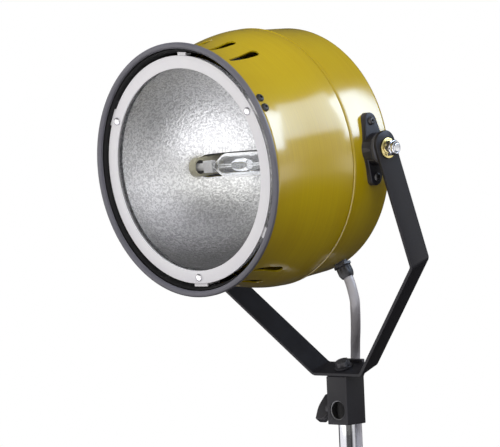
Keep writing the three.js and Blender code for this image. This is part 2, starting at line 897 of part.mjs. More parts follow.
function terminalBlock() {
  const from = bridgeBack + clearance - pivotToRim;
  const low = -lampDrop - 9;
  const block = boxBetween([-17, from, low], [17, from + 15, low + 18]);
  const cells = [-10.5, 0, 10.5].map((x) => (
    boxBetween([x - 3, from + 6, low - 1], [x + 3, from + 12, low + 19])
  ));
  return piece('terminal_block', cutAway(block, cells), ceramic);
}

// ---------- head: trunnions ----------

// The flange's outline is a round boss with a smaller round ear above and below, joined by tangents.
function trunnionFlange(name, side) {
  const inside = 104;
  const middleRadius = 13.2;
  const earRadius = 7.4;
  const tangent = Math.acos((middleRadius - earRadius) / flangeScrewRise);
  const up = Math.PI / 2;
  const outline = new THREE.Shape();
  outline.absarc(0, 0, middleRadius, -up + tangent, up - tangent, false);
  outline.absarc(0, flangeScrewRise, earRadius, up - tangent, up + tangent, false);
  outline.absarc(0, 0, middleRadius, up + tangent, 3 * up - tangent, false);
  outline.absarc(0, -flangeScrewRise, earRadius, 3 * up - tangent, 3 * up + tangent, false);
  outline.closePath();
  const plate = faceSideways(extruded(outline, trunnionFace - inside, 5));
  plate.translate(inside, 0, 0);
  const boss = rodAlongX(14, trunnionFace - 3, bossFace, 20);
  const drumClearance = new THREE.CylinderGeometry(114.6, 114.6, 60, roundSegments);
  const stud = rodAlongX(trunnionBoltRadius + clearance, 100, 130);
  const casting = cutAway(joined([plate, boss]), [drumClearance, stud, ...flangeScrewHoles()]);
  if (side < 0) {
    casting.rotateZ(Math.PI);
  }
  return piece(name, casting, satinBlack);
}

function flangeScrew(name, side, rise) {
  const seat = trunnionFace + clearance;
  const screw = uprightLathe(buttonScrewProfile(seat - 11.8, seat), screwSegments);
  screw.rotateY(side * Math.PI / 2);
  screw.translate(0, 0, rise);
  return piece(name, screw, blackPlastic);
}

function trunnionStud(name, side) {
  const stud = rodAlongX(trunnionBoltRadius, side * 115.2, side * 142.8);
  return piece(name, stud, zinc);
}

function lockNut(name, side) {
  const seat = yokeHalfSpan + 2 * clearance + armWasherThickness;
  const hexagon = hexPrism(13, seat, seat + 6.2);
  const collar = rodAlongZ(5.8, seat + 5, seat + 8.8);
  const bore = rodAlongZ(trunnionBoltRadius + clearance, seat - 1, seat + 12);
  const nut = cutAway(joined([hexagon, collar]), [bore]);
  nut.rotateY(side * Math.PI / 2);
  return piece(name, nut, zinc);
}

// ---------- cable ----------

function cableGland() {
  const bore = cableRadius + clearance;
  const seat = 114.4;
  const gland = uprightLathe([
    [bore, 104],
    [6.2, 104],
    [6.2, seat],
    [7.2, seat],
    [7.2, seat + 3],
    [6.5, seat + 3.5],
    [6.9, seat + 4],
    [6.9, seat + 9.5],
    [5.6, seat + 13],
    [bore, seat + 13.6],
    [bore, 104],
  ], 18);
  return piece('cable_gland', placeOnDrum(gland, glandDepth, glandAngle), blackPlastic);
}

function glandNut() {
  const hole = rodAlongZ(6.2 + clearance, 104, 112);
  const nut = cutAway(hexPrism(15.6, 106, 109), [hole]);
  return piece('gland_nut', placeOnDrum(nut, glandDepth, glandAngle), blackPlastic);
}

function cableTail() {
  const tail = rodAlongZ(cableRadius, 100, 137, 12);
  return piece('cable_tail', placeOnDrum(tail, glandDepth, glandAngle), greyPlastic);
}

// The cable's run down behind the yoke's base and beside the stand.
function cableDrop() {
  const path = new THREE.CatmullRomCurve3([
    new THREE.Vector3(34, -15, 88),
    new THREE.Vector3(16, 4, 76),
    new THREE.Vector3(0, 19, 66),
    new THREE.Vector3(-5, 23.5, 52),
    new THREE.Vector3(-4.5, 21, 34),
    new THREE.Vector3(-4, 18.5, 10),
    new THREE.Vector3(-4, 18.5, -26),
    new THREE.Vector3(-4, 18.5, 1 - standLength),
  ]);
  const section = new THREE.Shape();
  section.absarc(0, 0, cableRadius, 0, 2 * Math.PI, false);
  const cable = new THREE.ExtrudeGeometry(section, {
    steps: 14,
    extrudePath: path,
    curveSegments: 10,
    bevelEnabled: false,
  });
  return piece('cable_drop', cable, greyPlastic);
}

// ---------- the whole light ----------

function buildYoke() {
  const yoke = new THREE.Group();
  yoke.name = 'yoke';
  yoke.add(yokeBracket(), baseWasher(), baseBolt());
  yoke.add(armWasher('arm_washer_right', 1), armWasher('arm_washer_left', -1));
  yoke.add(frictionDisc('friction_disc_right', 1), frictionDisc('friction_disc_left', -1));
  yoke.position.set(0, 0, blockTop);
  yoke.rotation.x = yokeLean * degrees;
  return yoke;
}

function buildHead() {
  const head = new THREE.Group();
  head.name = 'head';
  head.add(frontDrum(), rearDrum(), rearCover(), frontRim(), lightBaffle());
  head.add(retainingRing(), glassGasket(), frontGlass(), reflector());
  head.add(glassClip('glass_clip_top', 5), glassClip('glass_clip_lower', 124));
  ringScrewAngles.forEach((angle, i) => {
    head.add(ringScrew(i + 1, angle), ringBracket(i + 1, angle));
  });
  bracketScrewAngles().forEach((angle, i) => head.add(bracketScrew(i + 1, angle)));
  coverScrewAngles.forEach((angle, i) => head.add(coverScrew(i + 1, angle)));
  head.add(lampEnvelope(), arcTube(), lampBridge(), terminalBlock());
  head.add(cableGland(), glandNut(), cableTail());
  for (const [word, side] of [['right', 1], ['left', -1]]) {
    head.add(lampCap(`lamp_cap_${word}`, side), lampholder(`lampholder_${word}`, side));
    head.add(trunnionFlange(`trunnion_flange_${word}`, side));
    head.add(trunnionStud(`trunnion_stud_${word}`, side), lockNut(`lock_nut_${word}`, side));
    head.add(flangeScrew(`flange_screw_${word}_upper`, side, flangeScrewRise));
    head.add(flangeScrew(`flange_screw_${word}_lower`, side, -flangeScrewRise));
  }
  const lean = yokeLean * degrees;
  head.position.set(0, -pivotRise * Math.sin(lean), blockTop + pivotRise * Math.cos(lean));
  head.rotation.x = headPitch * degrees;
  return head;
}

function buildLight() {
  const light = new THREE.Group();
  light.name = 'light_on_stand';
  light.add(standTube(), receiverBlock(), wingScrew(), wingKnob(), cableDrop());
  light.add(buildYoke(), buildHead());
  light.position.z = standLength;
  return light;
}

const group = new THREE.Group();
group.name = 'work_light';
group.add(buildLight());

export default group;
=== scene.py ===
"""Looks for the metal-halide work light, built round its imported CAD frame.

Every shape value below is in millimetres in the row frame unless it says otherwise; finish_mesh() turns
millimetres into metres. Depths inside the head are measured back from the front of its rim.
"""
import json
import math

import bmesh
import bpy
from mathutils import Matrix, Vector, noise


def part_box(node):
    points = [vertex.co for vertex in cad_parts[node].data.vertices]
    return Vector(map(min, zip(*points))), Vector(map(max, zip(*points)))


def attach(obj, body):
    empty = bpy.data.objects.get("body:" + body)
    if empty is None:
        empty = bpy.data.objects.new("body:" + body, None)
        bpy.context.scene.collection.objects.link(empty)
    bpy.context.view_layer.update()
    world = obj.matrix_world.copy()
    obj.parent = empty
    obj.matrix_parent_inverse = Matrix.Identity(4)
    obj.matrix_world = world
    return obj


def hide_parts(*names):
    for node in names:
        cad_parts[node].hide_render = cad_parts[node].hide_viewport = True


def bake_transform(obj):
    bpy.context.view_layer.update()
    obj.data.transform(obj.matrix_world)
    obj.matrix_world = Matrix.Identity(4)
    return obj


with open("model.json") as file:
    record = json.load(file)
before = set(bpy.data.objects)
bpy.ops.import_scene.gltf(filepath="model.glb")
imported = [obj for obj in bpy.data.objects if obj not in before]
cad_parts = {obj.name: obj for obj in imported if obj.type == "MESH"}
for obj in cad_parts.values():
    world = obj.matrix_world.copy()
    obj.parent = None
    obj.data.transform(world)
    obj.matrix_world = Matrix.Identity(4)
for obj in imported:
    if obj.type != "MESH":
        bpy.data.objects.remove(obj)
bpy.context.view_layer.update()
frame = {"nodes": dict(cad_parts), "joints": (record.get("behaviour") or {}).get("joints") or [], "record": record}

MM = 0.001

# --- sizes and places, from the frame ---

RECORD = frame["record"]
BODY_OF = {node: body for body, nodes in RECORD["behaviour"]["bodies"].items() for node in nodes}
JOINTS = {joint["name"]: joint for joint in frame["joints"]}
SIDES = {"right": 1, "left": -1}

HAIR = 0.03  # keeps these finer circles inside the CAD's coarser ones


def shift(y=0, z=0):
    return Matrix.Translation((0, y, z))


def spin(axis, degrees):
    return Matrix.Rotation(math.radians(degrees), 4, axis)


def reach(node, axis=0):
    """How far a node gets from the origin along a row axis, in millimetres, less a hair."""
    low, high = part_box(node)
    return max(-low[axis], high[axis]) / MM - HAIR


RIM_RADIUS = reach("front_rim")
BEAD_RADIUS = reach("front_drum")
REAR_RADIUS = reach("rear_drum")
COVER_RADIUS = reach("rear_cover")
RING_RADIUS = reach("retaining_ring")
GLASS_RADIUS = reach("front_glass")
BOWL_FLANGE_RADIUS = reach("reflector")
YOKE_HALF_SPAN = reach("yoke_bracket")
STUD_END = reach("trunnion_stud_right")
SPIGOT_RADIUS = reach("stand_tube")
BLOCK_HALF = reach("receiver_block")
BLOCK_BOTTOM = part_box("receiver_block")[0].z / MM
KNOB_CENTRE = JOINTS["wing_screw_turn"]["pos_m"][2] / MM
TILT_POINT = Vector(JOINTS["tilt"]["pos_m"]) / MM

BLOCK_TOP = BLOCK_BOTTOM + 49.5  # height of the block's sloping top on the stand's axis
BAR_WIDTH = 25
BAR_THICKNESS = 3
YOKE_HALF_BASE = 30
ARM_LENGTH = 109  # tilt axis down to the arms' bends
ARM_OVERRUN = 15.5  # bar left above the tilt axis
HEAD_PITCH = math.radians(5.8)  # how far the lamp looks down
PIVOT_TO_RIM = 121
NECK_RADIUS = 105
SHEET = 1.4
SEAM_DEPTH = 97.5
DRUM_DEPTH = 147
BOWL_RADIUS = 89.5
BOWL_START = 13.4
BOWL_LENGTH = 88
LAMP_DEPTH = 74
LAMP_DROP = 3.5
GLAND_DEPTH = 135
GLAND_ANGLE = 154
CABLE_RADIUS = 4.5
TRUNNION_FACE = 117.5
FLANGE_SCREW_RISE = 24.5
EAR_HINGE = 9  # height above the tilt axis where an ear starts to fall back
EAR_DRAFT = math.radians(6)
RING_FRONT = 5
RING_BACK = 6.2
RING_SCREW_ANGLES = (-60, 60, 180)
SWELL_START = 20  # the drum widens between these depths
SWELL_END = 92
COVER_SHEET = 2
SPIGOT_DEPTH = 34  # how far the spigot goes into the receiver
ARM_WASHER = 1.6
M8_RADIUS = 4
M8_CLEARANCE = 4.3
GAP = 0.3  # clearance between pieces

YOKE_LEAN = math.atan2(-TILT_POINT.y, TILT_POINT.z - BLOCK_TOP)
PIVOT_RISE = math.hypot(TILT_POINT.y, TILT_POINT.z - BLOCK_TOP)
YOKE = shift(z=BLOCK_TOP) @ Matrix.Rotation(YOKE_LEAN, 4, "X")
HEAD = Matrix.Translation(TILT_POINT) @ Matrix.Rotation(HEAD_PITCH, 4, "X")
ALONG_DEPTH = HEAD @ shift(y=-PIVOT_TO_RIM) @ spin("X", -90)
LAMP = HEAD @ shift(y=LAMP_DEPTH - PIVOT_TO_RIM, z=-LAMP_DROP) @ spin("Y", 90)
STOOD_UP = Matrix(((0, 0, 1, 0), (1, 0, 0, 0), (0, 1, 0, 0), (0, 0, 0, 1)))  # x, y, z become y, z, x


def on_drum(depth, angle):
    """Places a piece drawn about +Z so that it points out of the drum.

    The angle is in degrees, from the head's top towards +X.
    """
    return HEAD @ shift(y=depth - PIVOT_TO_RIM) @ spin("Y", angle)


def on_front(depth, radius, angle):
    """Places a piece drawn about the drum's axis at a radius and angle, its +Z pointing back."""
    return HEAD @ spin("Y", angle) @ shift(y=depth - PIVOT_TO_RIM, z=radius) @ spin("X", -90)


def on_tilt_axis(side, rise=0):
    """Places a piece drawn about +Z so that it points out sideways along the tilt axis."""
    return HEAD @ shift(z=rise) @ spin("Y", side * 90)


# --- outlines ---

def arc(centre, radius, start, end, steps=8):
    """Points along a circular arc, its angles in degrees."""
    points = []
    for i in range(steps + 1):
        turn = math.radians(start + (end - start) * i / steps)
        points.append((centre[0] + radius * math.cos(turn), centre[1] + radius * math.sin(turn)))
    return points


def rounded(corners, closed=True, steps=5):
    """An outline of (x, y, radius) corners, each rounded by a true arc."""
    points = []
    count = len(corners)
    for i, (x, y, radius) in enumerate(corners):
        corner = Vector((x, y))
        is_end = not closed and i in (0, count - 1)
        if radius == 0 or is_end:
            points.append((x, y))
            continue
        inward = (Vector(corners[i - 1][:2]) - corner).normalized()
        outward = (Vector(corners[(i + 1) % count][:2]) - corner).normalized()
        half = math.acos(max(-1, min(1, inward.dot(outward)))) / 2
        centre = corner + (inward + outward).normalized() * (radius / math.sin(half))
        first = corner + inward * (radius / math.tan(half)) - centre
        last = corner + outward * (radius / math.tan(half)) - centre
        swing = first.angle_signed(last, 0)
        for step in range(steps + 1):
            spoke = Matrix.Rotation(-swing * step / steps, 2) @ first
            points.append(tuple(centre + spoke))
    return points


def rounded_box(half_x, half_y, radius, steps=5):
    corners = ((-half_x, -half_y), (half_x, -half_y), (half_x, half_y), (-half_x, half_y))
    return rounded([(x, y, radius) for x, y in corners], steps=steps)


def smooth_path(points, steps=8):
    """A Catmull-Rom curve through the given points."""
    path = [Vector(point) for point in points]
    path = [2 * path[0] - path[1]] + path + [2 * path[-1] - path[-2]]
    curve = []
    for i in range(1, len(path) - 2):
        a, b, c, d = path[i - 1:i + 3]
        for step in range(steps):
            t = step / steps
            bend = 2 * a - 5 * b + 4 * c - d
            twist = 3 * b - a - 3 * c + d
            curve.append((2 * b + (c - a) * t + bend * t ** 2 + twist * t ** 3) / 2)
    curve.append(path[-2])
    return curve


# --- meshes ---

def circle(angle):
    return 1.0


def hexagon(angle):
    """Radius of a hexagon relative to its inscribed circle."""
    sector = math.radians(60)
    return 1 / math.cos((angle + sector / 2) % sector - sector / 2)


def fluted(angle, flutes=12, depth=0.035):
    return 1 + depth * math.cos(flutes * angle)


def turned(profile, segments=96):
    """A body of revolution about Z. Each profile point is (radius, height) or (radius, height, section).

    A profile that starts and ends on the axis gives a solid; any other is closed into a ring.
    """
    mesh = bmesh.new()
    uv = mesh.loops.layers.uv.new("around")
    is_ring = profile[0][0] > 0
    rings = []
    for point in profile:
        radius, height = point[:2]
        section = point[2] if len(point) > 2 else circle
        if radius == 0:
            rings.append([mesh.verts.new((0, 0, height))] * segments)
            continue
        ring = []
        for i in range(segments):
            angle = 2 * math.pi * i / segments
            r = radius * section(angle)
            ring.append(mesh.verts.new((r * math.cos(angle), r * math.sin(angle), height)))
        rings.append(ring)
    if is_ring:
        rings.append(rings[0])
    along = 0
    width = 2 * math.pi * max(point[0] for point in profile)
    points = list(profile) + [profile[0]]
    for row in range(len(rings) - 1):
        length = math.dist(points[row][:2], points[row + 1][:2])
        for i in range(segments):
            j = (i + 1) % segments
            corners = {
                rings[row][i]: (width * i / segments, along),
                rings[row][j]: (width * (i + 1) / segments, along),
                rings[row + 1][j]: (width * (i + 1) / segments, along + length),
                rings[row + 1][i]: (width * i / segments, along + length),
            }
            if len(corners) < 3:
                continue
            face = mesh.faces.new(list(corners))
            for loop, place in zip(face.loops, corners.values()):
                loop[uv].uv = (place[0] * MM, place[1] * MM)
        along += length
    return mesh


def lathed(corners, segments, steps=5):
    """A solid of revolution from (radius, height, rounding) corners that start and end on the axis."""
    return turned(rounded(corners, closed=False, steps=steps), segments)


def prism(outline, low, high):
    """An outline in X and Y, extruded along Z."""
    mesh = bmesh.new()
    bottom = [mesh.verts.new((x, y, low)) for x, y in outline]
    top = [mesh.verts.new((x, y, high)) for x, y in outline]
    mesh.faces.new(bottom)
    mesh.faces.new(top)
    count = len(outline)
    for i in range(count):
        j = (i + 1) % count
        mesh.faces.new((bottom[i], bottom[j], top[j], top[i]))
    return mesh


def swept(path, section_at, up):
    """A closed section carried along a path; section_at(i) gives its (across, up) points at path point i."""
    mesh = bmesh.new()
    uv = mesh.loops.layers.uv.new("around")
    rings = []
    lengths = [0]
    for i, point in enumerate(path):
        before = path[max(i - 1, 0)]
        after = path[min(i + 1, len(path) - 1)]
        along = (after - before).normalized()
        across = along.cross(up).normalized()
        lift = across.cross(along)
        rings.append([mesh.verts.new(point + across * x + lift * y) for x, y in section_at(i)])
        if i:
            lengths.append(lengths[-1] + (point - path[i - 1]).length)
    count = len(rings[0])
    for row in range(len(rings) - 1):
        for i in range(count):
            j = (i + 1) % count
            face = mesh.faces.new((rings[row][i], rings[row][j], rings[row + 1][j], rings[row + 1][i]))
            places = ((i, row), (i + 1, row), (i + 1, row + 1), (i, row + 1))
            for loop, (side, end) in zip(face.loops, places):
                loop[uv].uv = (side / count, lengths[end] * MM)
    mesh.faces.new(rings[0])
    mesh.faces.new(rings[-1])
    return mesh


def united(meshes):
    """Several meshes put together in one, without joining their surfaces."""
    whole = bmesh.new()
    for mesh in meshes:
        data = bpy.data.meshes.new("part")
        mesh.to_mesh(data)
        mesh.free()
        whole.from_mesh(data)
        bpy.data.meshes.remove(data)
    return whole


def moved(mesh, place):
    mesh.transform(place)
    return mesh


def placed(name, data):
    made = bpy.data.objects.new(name, data)
    bpy.context.scene.collection.objects.link(made)
    return made


def discard(made):
    data = made.data
    bpy.data.objects.remove(made)
    bpy.data.meshes.remove(data)


def as_object(name, mesh):
    bmesh.ops.recalc_face_normals(mesh, faces=mesh.faces)
    data = bpy.data.meshes.new(name)
    mesh.to_mesh(data)
    mesh.free()
    return placed(name, data)


def as_mesh(made):
    """Applies an object's modifiers and gives its mesh back for more work."""
    mesh = bmesh.new()
    mesh.from_object(made, bpy.context.evaluated_depsgraph_get())
    discard(made)
    return mesh


def combined(mesh, tool, operation):
    base = as_object("base", mesh)
    cutter = as_object("cutter", tool)
    step = base.modifiers.new("combine", "BOOLEAN")
    step.operation = operation
    step.solver = "EXACT"
    step.object = cutter
    result = as_mesh(base)
    discard(cutter)
    return result


def carved(mesh, *tools):
    return combined(mesh, united(tools), "DIFFERENCE")


def painted(mesh, is_second):
    """Gives the second material to every face that meets a test."""
    for face in mesh.faces:
        face.material_index = 1 if is_second(face) else 0
    return mesh


def bevel(made, width, segments, angle):
    """Rounds every edge sharper than an angle."""
    step = made.modifiers.new("bevel", "BEVEL")
    step.width = width
    step.segments = segments
    step.limit_method = "ANGLE"
    step.angle_limit = math.radians(angle)


def softened(mesh, width):
    made = as_object("soft", mesh)
    bevel(made, width, segments=3, angle=35)
    return as_mesh(made)


def finish_mesh(name, mesh, materials, sharp=32):
    """Turns a mesh in millimetres into a shaded object in metres."""
    bmesh.ops.scale(mesh, vec=(MM, MM, MM), verts=mesh.verts)
    made = as_object(name, mesh)
    for material in materials:
        made.data.materials.append(material)
    made.data.shade_smooth()
    made.data.set_sharp_from_angle(angle=math.radians(sharp))
    return made


def detail(node, mesh, *materials, place=None, sharp=32):
    """Shows a finished mesh in place of a CAD node, on the same body, with the given materials."""
    if place is not None:
        mesh.transform(place)
    made = finish_mesh(node + "_detail", mesh, materials, sharp)
    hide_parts(node)
    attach(made, BODY_OF[node])
    return made


def dressed(node, material):
    """Keeps a CAD node, softens its edges and gives it its material."""
    kept = frame["nodes"][node]
    kept.data.materials.clear()
    kept.data.materials.append(material)
    bevel(kept, 0.25 * MM, segments=2, angle=50)


# --- materials ---

def socket_set(made, tree, values):
    for key, value in values.items():
        if isinstance(value, bpy.types.NodeSocket):
            tree.links.new(value, made.inputs[key])
        else:
            made.inputs[key].default_value = value


def add_node(tree, kind, values=None, **settings):
    made = tree.nodes.new("ShaderNode" + kind)
    for key, value in settings.items():
        setattr(made, key, value)
    socket_set(made, tree, values or {})
    return made


def new_material(name):
    material = bpy.data.materials.new(name)
    material.use_nodes = True
    tree = material.node_tree
    return material, tree, tree.nodes["Principled BSDF"]


def maths(tree, operation, *values):
    """Takes values one after another through a Math node: a sum, a product or an absolute value."""
    result = values[0]
    for value in values[1:] or (0,):
        result = add_node(tree, "Math", {0: result, 1: value}, operation=operation).outputs[0]
    return result


def mixed_shader(tree, factor, first, second):
    return add_node(tree, "MixShader", {0: factor, 1: first, 2: second}).outputs[0]


def object_place(tree):
    return add_node(tree, "TexCoord").outputs["Object"]


def stretched(tree, where, scale):
    return add_node(tree, "Mapping", {"Vector": where, "Scale": scale}).outputs["Vector"]


def noise_of(tree, where, scale, detail_level):
    values = {"Vector": where, "Scale": scale, "Detail": detail_level}
    return add_node(tree, "TexNoise", values).outputs["Fac"]


def remap(tree, value, low, high, to_low=0, to_high=1):
    values = {"Value": value, "From Min": low, "From Max": high, "To Min": to_low, "To Max": to_high}
    return add_node(tree, "MapRange", values).outputs["Result"]


def mixed(tree, factor, first, second):
    """Blends two colours."""
    return add_node(tree, "Mix", {0: factor, 6: first, 7: second}, data_type="RGBA").outputs[2]


def shade(colour, factor):
    return tuple(min(1, channel * factor) for channel in colour[:3]) + (1,)


def bumped(tree, height, depth_mm, strength=1.0):
    values = {"Height": height, "Strength": strength, "Distance": depth_mm * MM}
    return add_node(tree, "Bump", values).outputs["Normal"]


def surface(name, colour, roughness, metallic=0.0, grain=0.6, relief=0.02, mottle=0.12, edge_wear_and_highlight=0.25,
            edge_wear_and_highlight_colour=None, coat=0.0, coat_roughness=0.1, specular=0.5):
    """A general finish: mottled colour, uneven roughness, fine grain relief and lightened edges: rubbed wear, and
    on the black lacquer and fibre a painted edge highlight as well.

    grain is the size of the relief's grains and relief its depth, both in millimetres.
    """
    material, tree, shader = new_material(name)
    where = object_place(tree)
    broad = noise_of(tree, where, 45, 4)
    fine = noise_of(tree, where, 1 / (grain * MM), 2)
    tint = remap(tree, broad, 0.3, 0.7)
    base = mixed(tree, tint, shade(colour, 1 - mottle), shade(colour, 1 + mottle))
    # pointy edges are lightened: edge wear, and on some finishes a painted highlight
    edge = add_node(tree, "NewGeometry").outputs["Pointiness"]
    rubbed_and_highlighted = remap(tree, edge, 0.52, 0.6, 0, edge_wear_and_highlight)
    base = mixed(tree, rubbed_and_highlighted, base, edge_wear_and_highlight_colour or shade(colour, 1.8))
    values = {
        "Base Color": base,
        "Metallic": metallic,
        "Roughness": remap(tree, broad, 0.3, 0.7, roughness * 0.88, min(1, roughness * 1.12)),
        "Normal": bumped(tree, fine, relief),
        "Coat Weight": coat,
        "Coat Roughness": coat_roughness,
        "Specular IOR Level": specular,
    }
    socket_set(shader, tree, values)
    return material


def gold_lacquer():
    """Gold lacquer over spun metal: fine lines run round the drum, under a clear coat."""
    material, tree, shader = new_material("gold_lacquer")
    uv = add_node(tree, "UVMap", uv_map="around").outputs["UV"]
    lines = noise_of(tree, stretched(tree, uv, (6, 900, 1)), 1.0, 3)
    bands = noise_of(tree, stretched(tree, uv, (3, 140, 1)), 1.0, 2)
    cloud = noise_of(tree, object_place(tree), 18, 3)
    deep = (0.51, 0.345, 0.002, 1)
    bright = (0.59, 0.445, 0.003, 1)
    base = mixed(tree, remap(tree, cloud, 0.3, 0.7, 0.25, 0.75), deep, bright)
    base = mixed(tree, remap(tree, lines, 0.35, 0.65, 0, 0.35), base, shade(bright, 1.15))
    socket_set(shader, tree, {
        "Base Color": base,
        "Metallic": 0.0,
        "Specular IOR Level": 0.15,
        "Roughness": remap(tree, bands, 0.3, 0.7, 0.30, 0.40),
        "Normal": bumped(tree, lines, 0.012, 0.6),
        "Coat Weight": 1.0,
        "Coat Roughness": 0.17,
        "Coat Normal": bumped(tree, lines, 0.008, 0.5),
        "Coat IOR": 1.9,
    })
    return material


def hammered_aluminium():
    """Bright rolled aluminium, hammered all over, with painted shade where its faces look up and painted shading
    on its hammer ridges.
    """
    material, tree, shader = new_material("bright_aluminium")
    where = object_place(tree)
    reach_m = 0.007
    warp = add_node(tree, "TexNoise", {"Vector": where, "Scale": 210.0, "Detail": 1.0}).outputs["Color"]
    pushed = add_node(tree, "VectorMath", {0: warp, 1: (reach_m,) * 3}, operation="MULTIPLY").outputs[0]
    bent = add_node(tree, "VectorMath", {0: where, 1: pushed}, operation="ADD").outputs[0]
    worms = noise_of(tree, bent, 560, 0)
    ridges = remap(tree, worms, 0.40, 0.60)
    grain = noise_of(tree, where, 60, 3)
    normal = add_node(tree, "TexCoord").outputs["Normal"]
    facing_up = add_node(tree, "SeparateXYZ", {0: normal}).outputs["Z"]
    # painted shade: the base colour darkens towards near black where faces look up, on the bowl's lower inside
    painted_shade = remap(tree, facing_up, 0.15, 0.85, 0, 0.84)
    # the dark colour of that painted shade
    dust_and_shade = (0.08, 0.08, 0.085, 1)
    # painted shading: the hammer ridges are lighter and their hollows darker in the base colour
    painted_ridge_shading = mixed(tree, ridges, (0.66, 0.66, 0.68, 1), (0.97, 0.97, 0.99, 1))
    socket_set(shader, tree, {
        "Base Color": mixed(tree, painted_shade, painted_ridge_shading, dust_and_shade),
        "Metallic": 1.0,
        "Roughness": remap(tree, grain, 0.3, 0.7, 0.34, 0.42),
        "Normal": bumped(tree, ridges, 0.10, 0.7),
    })
    return material


def clear_pane(name, tint, gloss):
    """Flat glass: what is behind shows through, with a mirror sheen that grows towards grazing angles."""
    material, tree, shader = new_material(name)
    tree.nodes.remove(shader)
    where = object_place(tree)
    dust_and_shade = noise_of(tree, where, 90, 4)
    through = add_node(tree, "BsdfTransparent", {"Color": tint}).outputs[0]
    smear = remap(tree, dust_and_shade, 0.4, 0.8, 0.01, 0.12)
    sheen = add_node(tree, "BsdfGlossy", {"Color": (1, 1, 1, 1), "Roughness": smear}).outputs[0]
    edge = add_node(tree, "Fresnel", {"IOR": 1.45}).outputs[0]
    is_back = add_node(tree, "NewGeometry").outputs["Backfacing"]
    strength = remap(tree, is_back, 0, 1, gloss, 0)
    blend = mixed_shader(tree, maths(tree, "MULTIPLY", edge, strength), through, sheen)
    tree.links.new(blend, tree.nodes["Material Output"].inputs["Surface"])
    return material


def quartz():
    """Fused quartz of the lamp: clear, with faint draw lines along it."""
    material, tree, shader = new_material("quartz")
    lines = noise_of(tree, stretched(tree, object_place(tree), (20, 900, 900)), 1.0, 2)
    socket_set(shader, tree, {
        "Base Color": (0.97, 0.98, 1.0, 1),
        "Roughness": 0.04,
        "IOR": 1.46,
        "Transmission Weight": 1.0,
        "Normal": bumped(tree, lines, 0.05, 0.5),
    })
    return material


def chrome_plate():
    """Polished chrome with faint rub marks round the tube."""
    material, tree, shader = new_material("chrome_plate")
    rubs = noise_of(tree, stretched(tree, object_place(tree), (40, 40, 1500)), 1.0, 3)
    socket_set(shader, tree, {
        "Base Color": mixed(tree, rubs, (0.80, 0.82, 0.86, 1), (0.90, 0.91, 0.93, 1)),
        "Metallic": 1.0,
        "Roughness": remap(tree, rubs, 0.3, 0.7, 0.03, 0.08),
        "Normal": bumped(tree, rubs, 0.004, 0.4),
    })
    return material


GOLD = gold_lacquer()
HAMMERED = hammered_aluminium()
PANE = clear_pane("pane_glass", (0.985, 0.99, 0.985, 1), 0.35)
QUARTZ = quartz()
CHROME = chrome_plate()
# its lighter edge colour is partly edge wear and partly a painted edge highlight
BLACK = surface("black_lacquer", (0.016, 0.016, 0.020), 0.38, grain=0.5, relief=0.02, edge_wear_and_highlight=0.6,
    edge_wear_and_highlight_colour=(0.14, 0.14, 0.16, 1), coat=0.06, coat_roughness=0.25, specular=0.2)
# black heat paint on the neck's baffle, and painted shade on the drum's inside, the bores and the lamp sockets
BLACK_PAINT_AND_SHADE = surface("heat_black_and_painted_shade", (0.008, 0.008, 0.009), 0.75, grain=0.7, relief=0.04)
RIM_GREY = surface("grey_lacquer", (0.15, 0.15, 0.18), 0.34, grain=0.8, relief=0.015,
    edge_wear_and_highlight_colour=(0.3, 0.3, 0.33, 1))
BLACK_STEEL = surface("black_steel", (0.022, 0.022, 0.024), 0.36, metallic=0.4, grain=0.3, relief=0.01,
    edge_wear_and_highlight=0.6, edge_wear_and_highlight_colour=(0.3, 0.3, 0.3, 1))
SILVER = surface("silver_ring", (0.94, 0.94, 0.98), 0.36, metallic=0.15, grain=0.4, relief=0.006,
    mottle=0.04, edge_wear_and_highlight_colour=(1, 1, 1, 1))
BRIGHT = surface("bright_steel", (0.80, 0.80, 0.83), 0.22, metallic=0.9, grain=0.4, relief=0.006, mottle=0.06,
    edge_wear_and_highlight_colour=(1, 1, 1, 1))
ZINC = surface("zinc_plate", (0.74, 0.75, 0.78), 0.20, metallic=1.0, grain=0.8, relief=0.01, mottle=0.10,
    edge_wear_and_highlight_colour=(1, 1, 1, 1))
YELLOW_ZINC = surface("yellow_zinc", (0.80, 0.66, 0.25), 0.24, metallic=1.0, grain=1.2, relief=0.01,
    mottle=0.18, edge_wear_and_highlight_colour=(0.95, 0.9, 0.7, 1))
CERAMIC = surface("white_ceramic", (0.56, 0.53, 0.38), 0.5, grain=0.4, relief=0.03, mottle=0.05)
PINCH = surface("quartz_pinch", (0.88, 0.88, 0.90), 0.25, grain=1.5, relief=0.12, mottle=0.08, coat=0.6)
SILICONE = surface("grey_silicone", (0.30, 0.30, 0.31), 0.62, grain=0.5, relief=0.02)
WORN_EDGE = surface("worn_edge", (0.16, 0.16, 0.17), 0.42, metallic=0.6, grain=0.3, relief=0.01)
# painted highlight: the pale edge colour stands in for the bright rim that the disc's edge catches
FIBRE = surface("black_fibre", (0.012, 0.012, 0.013), 0.6, grain=0.5, relief=0.04, edge_wear_and_highlight=0.8,
    edge_wear_and_highlight_colour=(0.45, 0.45, 0.5, 1))
PLASTIC = surface("black_plastic", (0.03, 0.03, 0.036), 0.44, grain=0.35, relief=0.02, edge_wear_and_highlight=0.4,
    edge_wear_and_highlight_colour=(0.12, 0.12, 0.13, 1))
SHEATH = surface("grey_sheath", (0.60, 0.60, 0.66), 0.38, grain=1.6, relief=0.03, mottle=0.08, coat=0.3)


# --- stand, receiver and wing screw ---

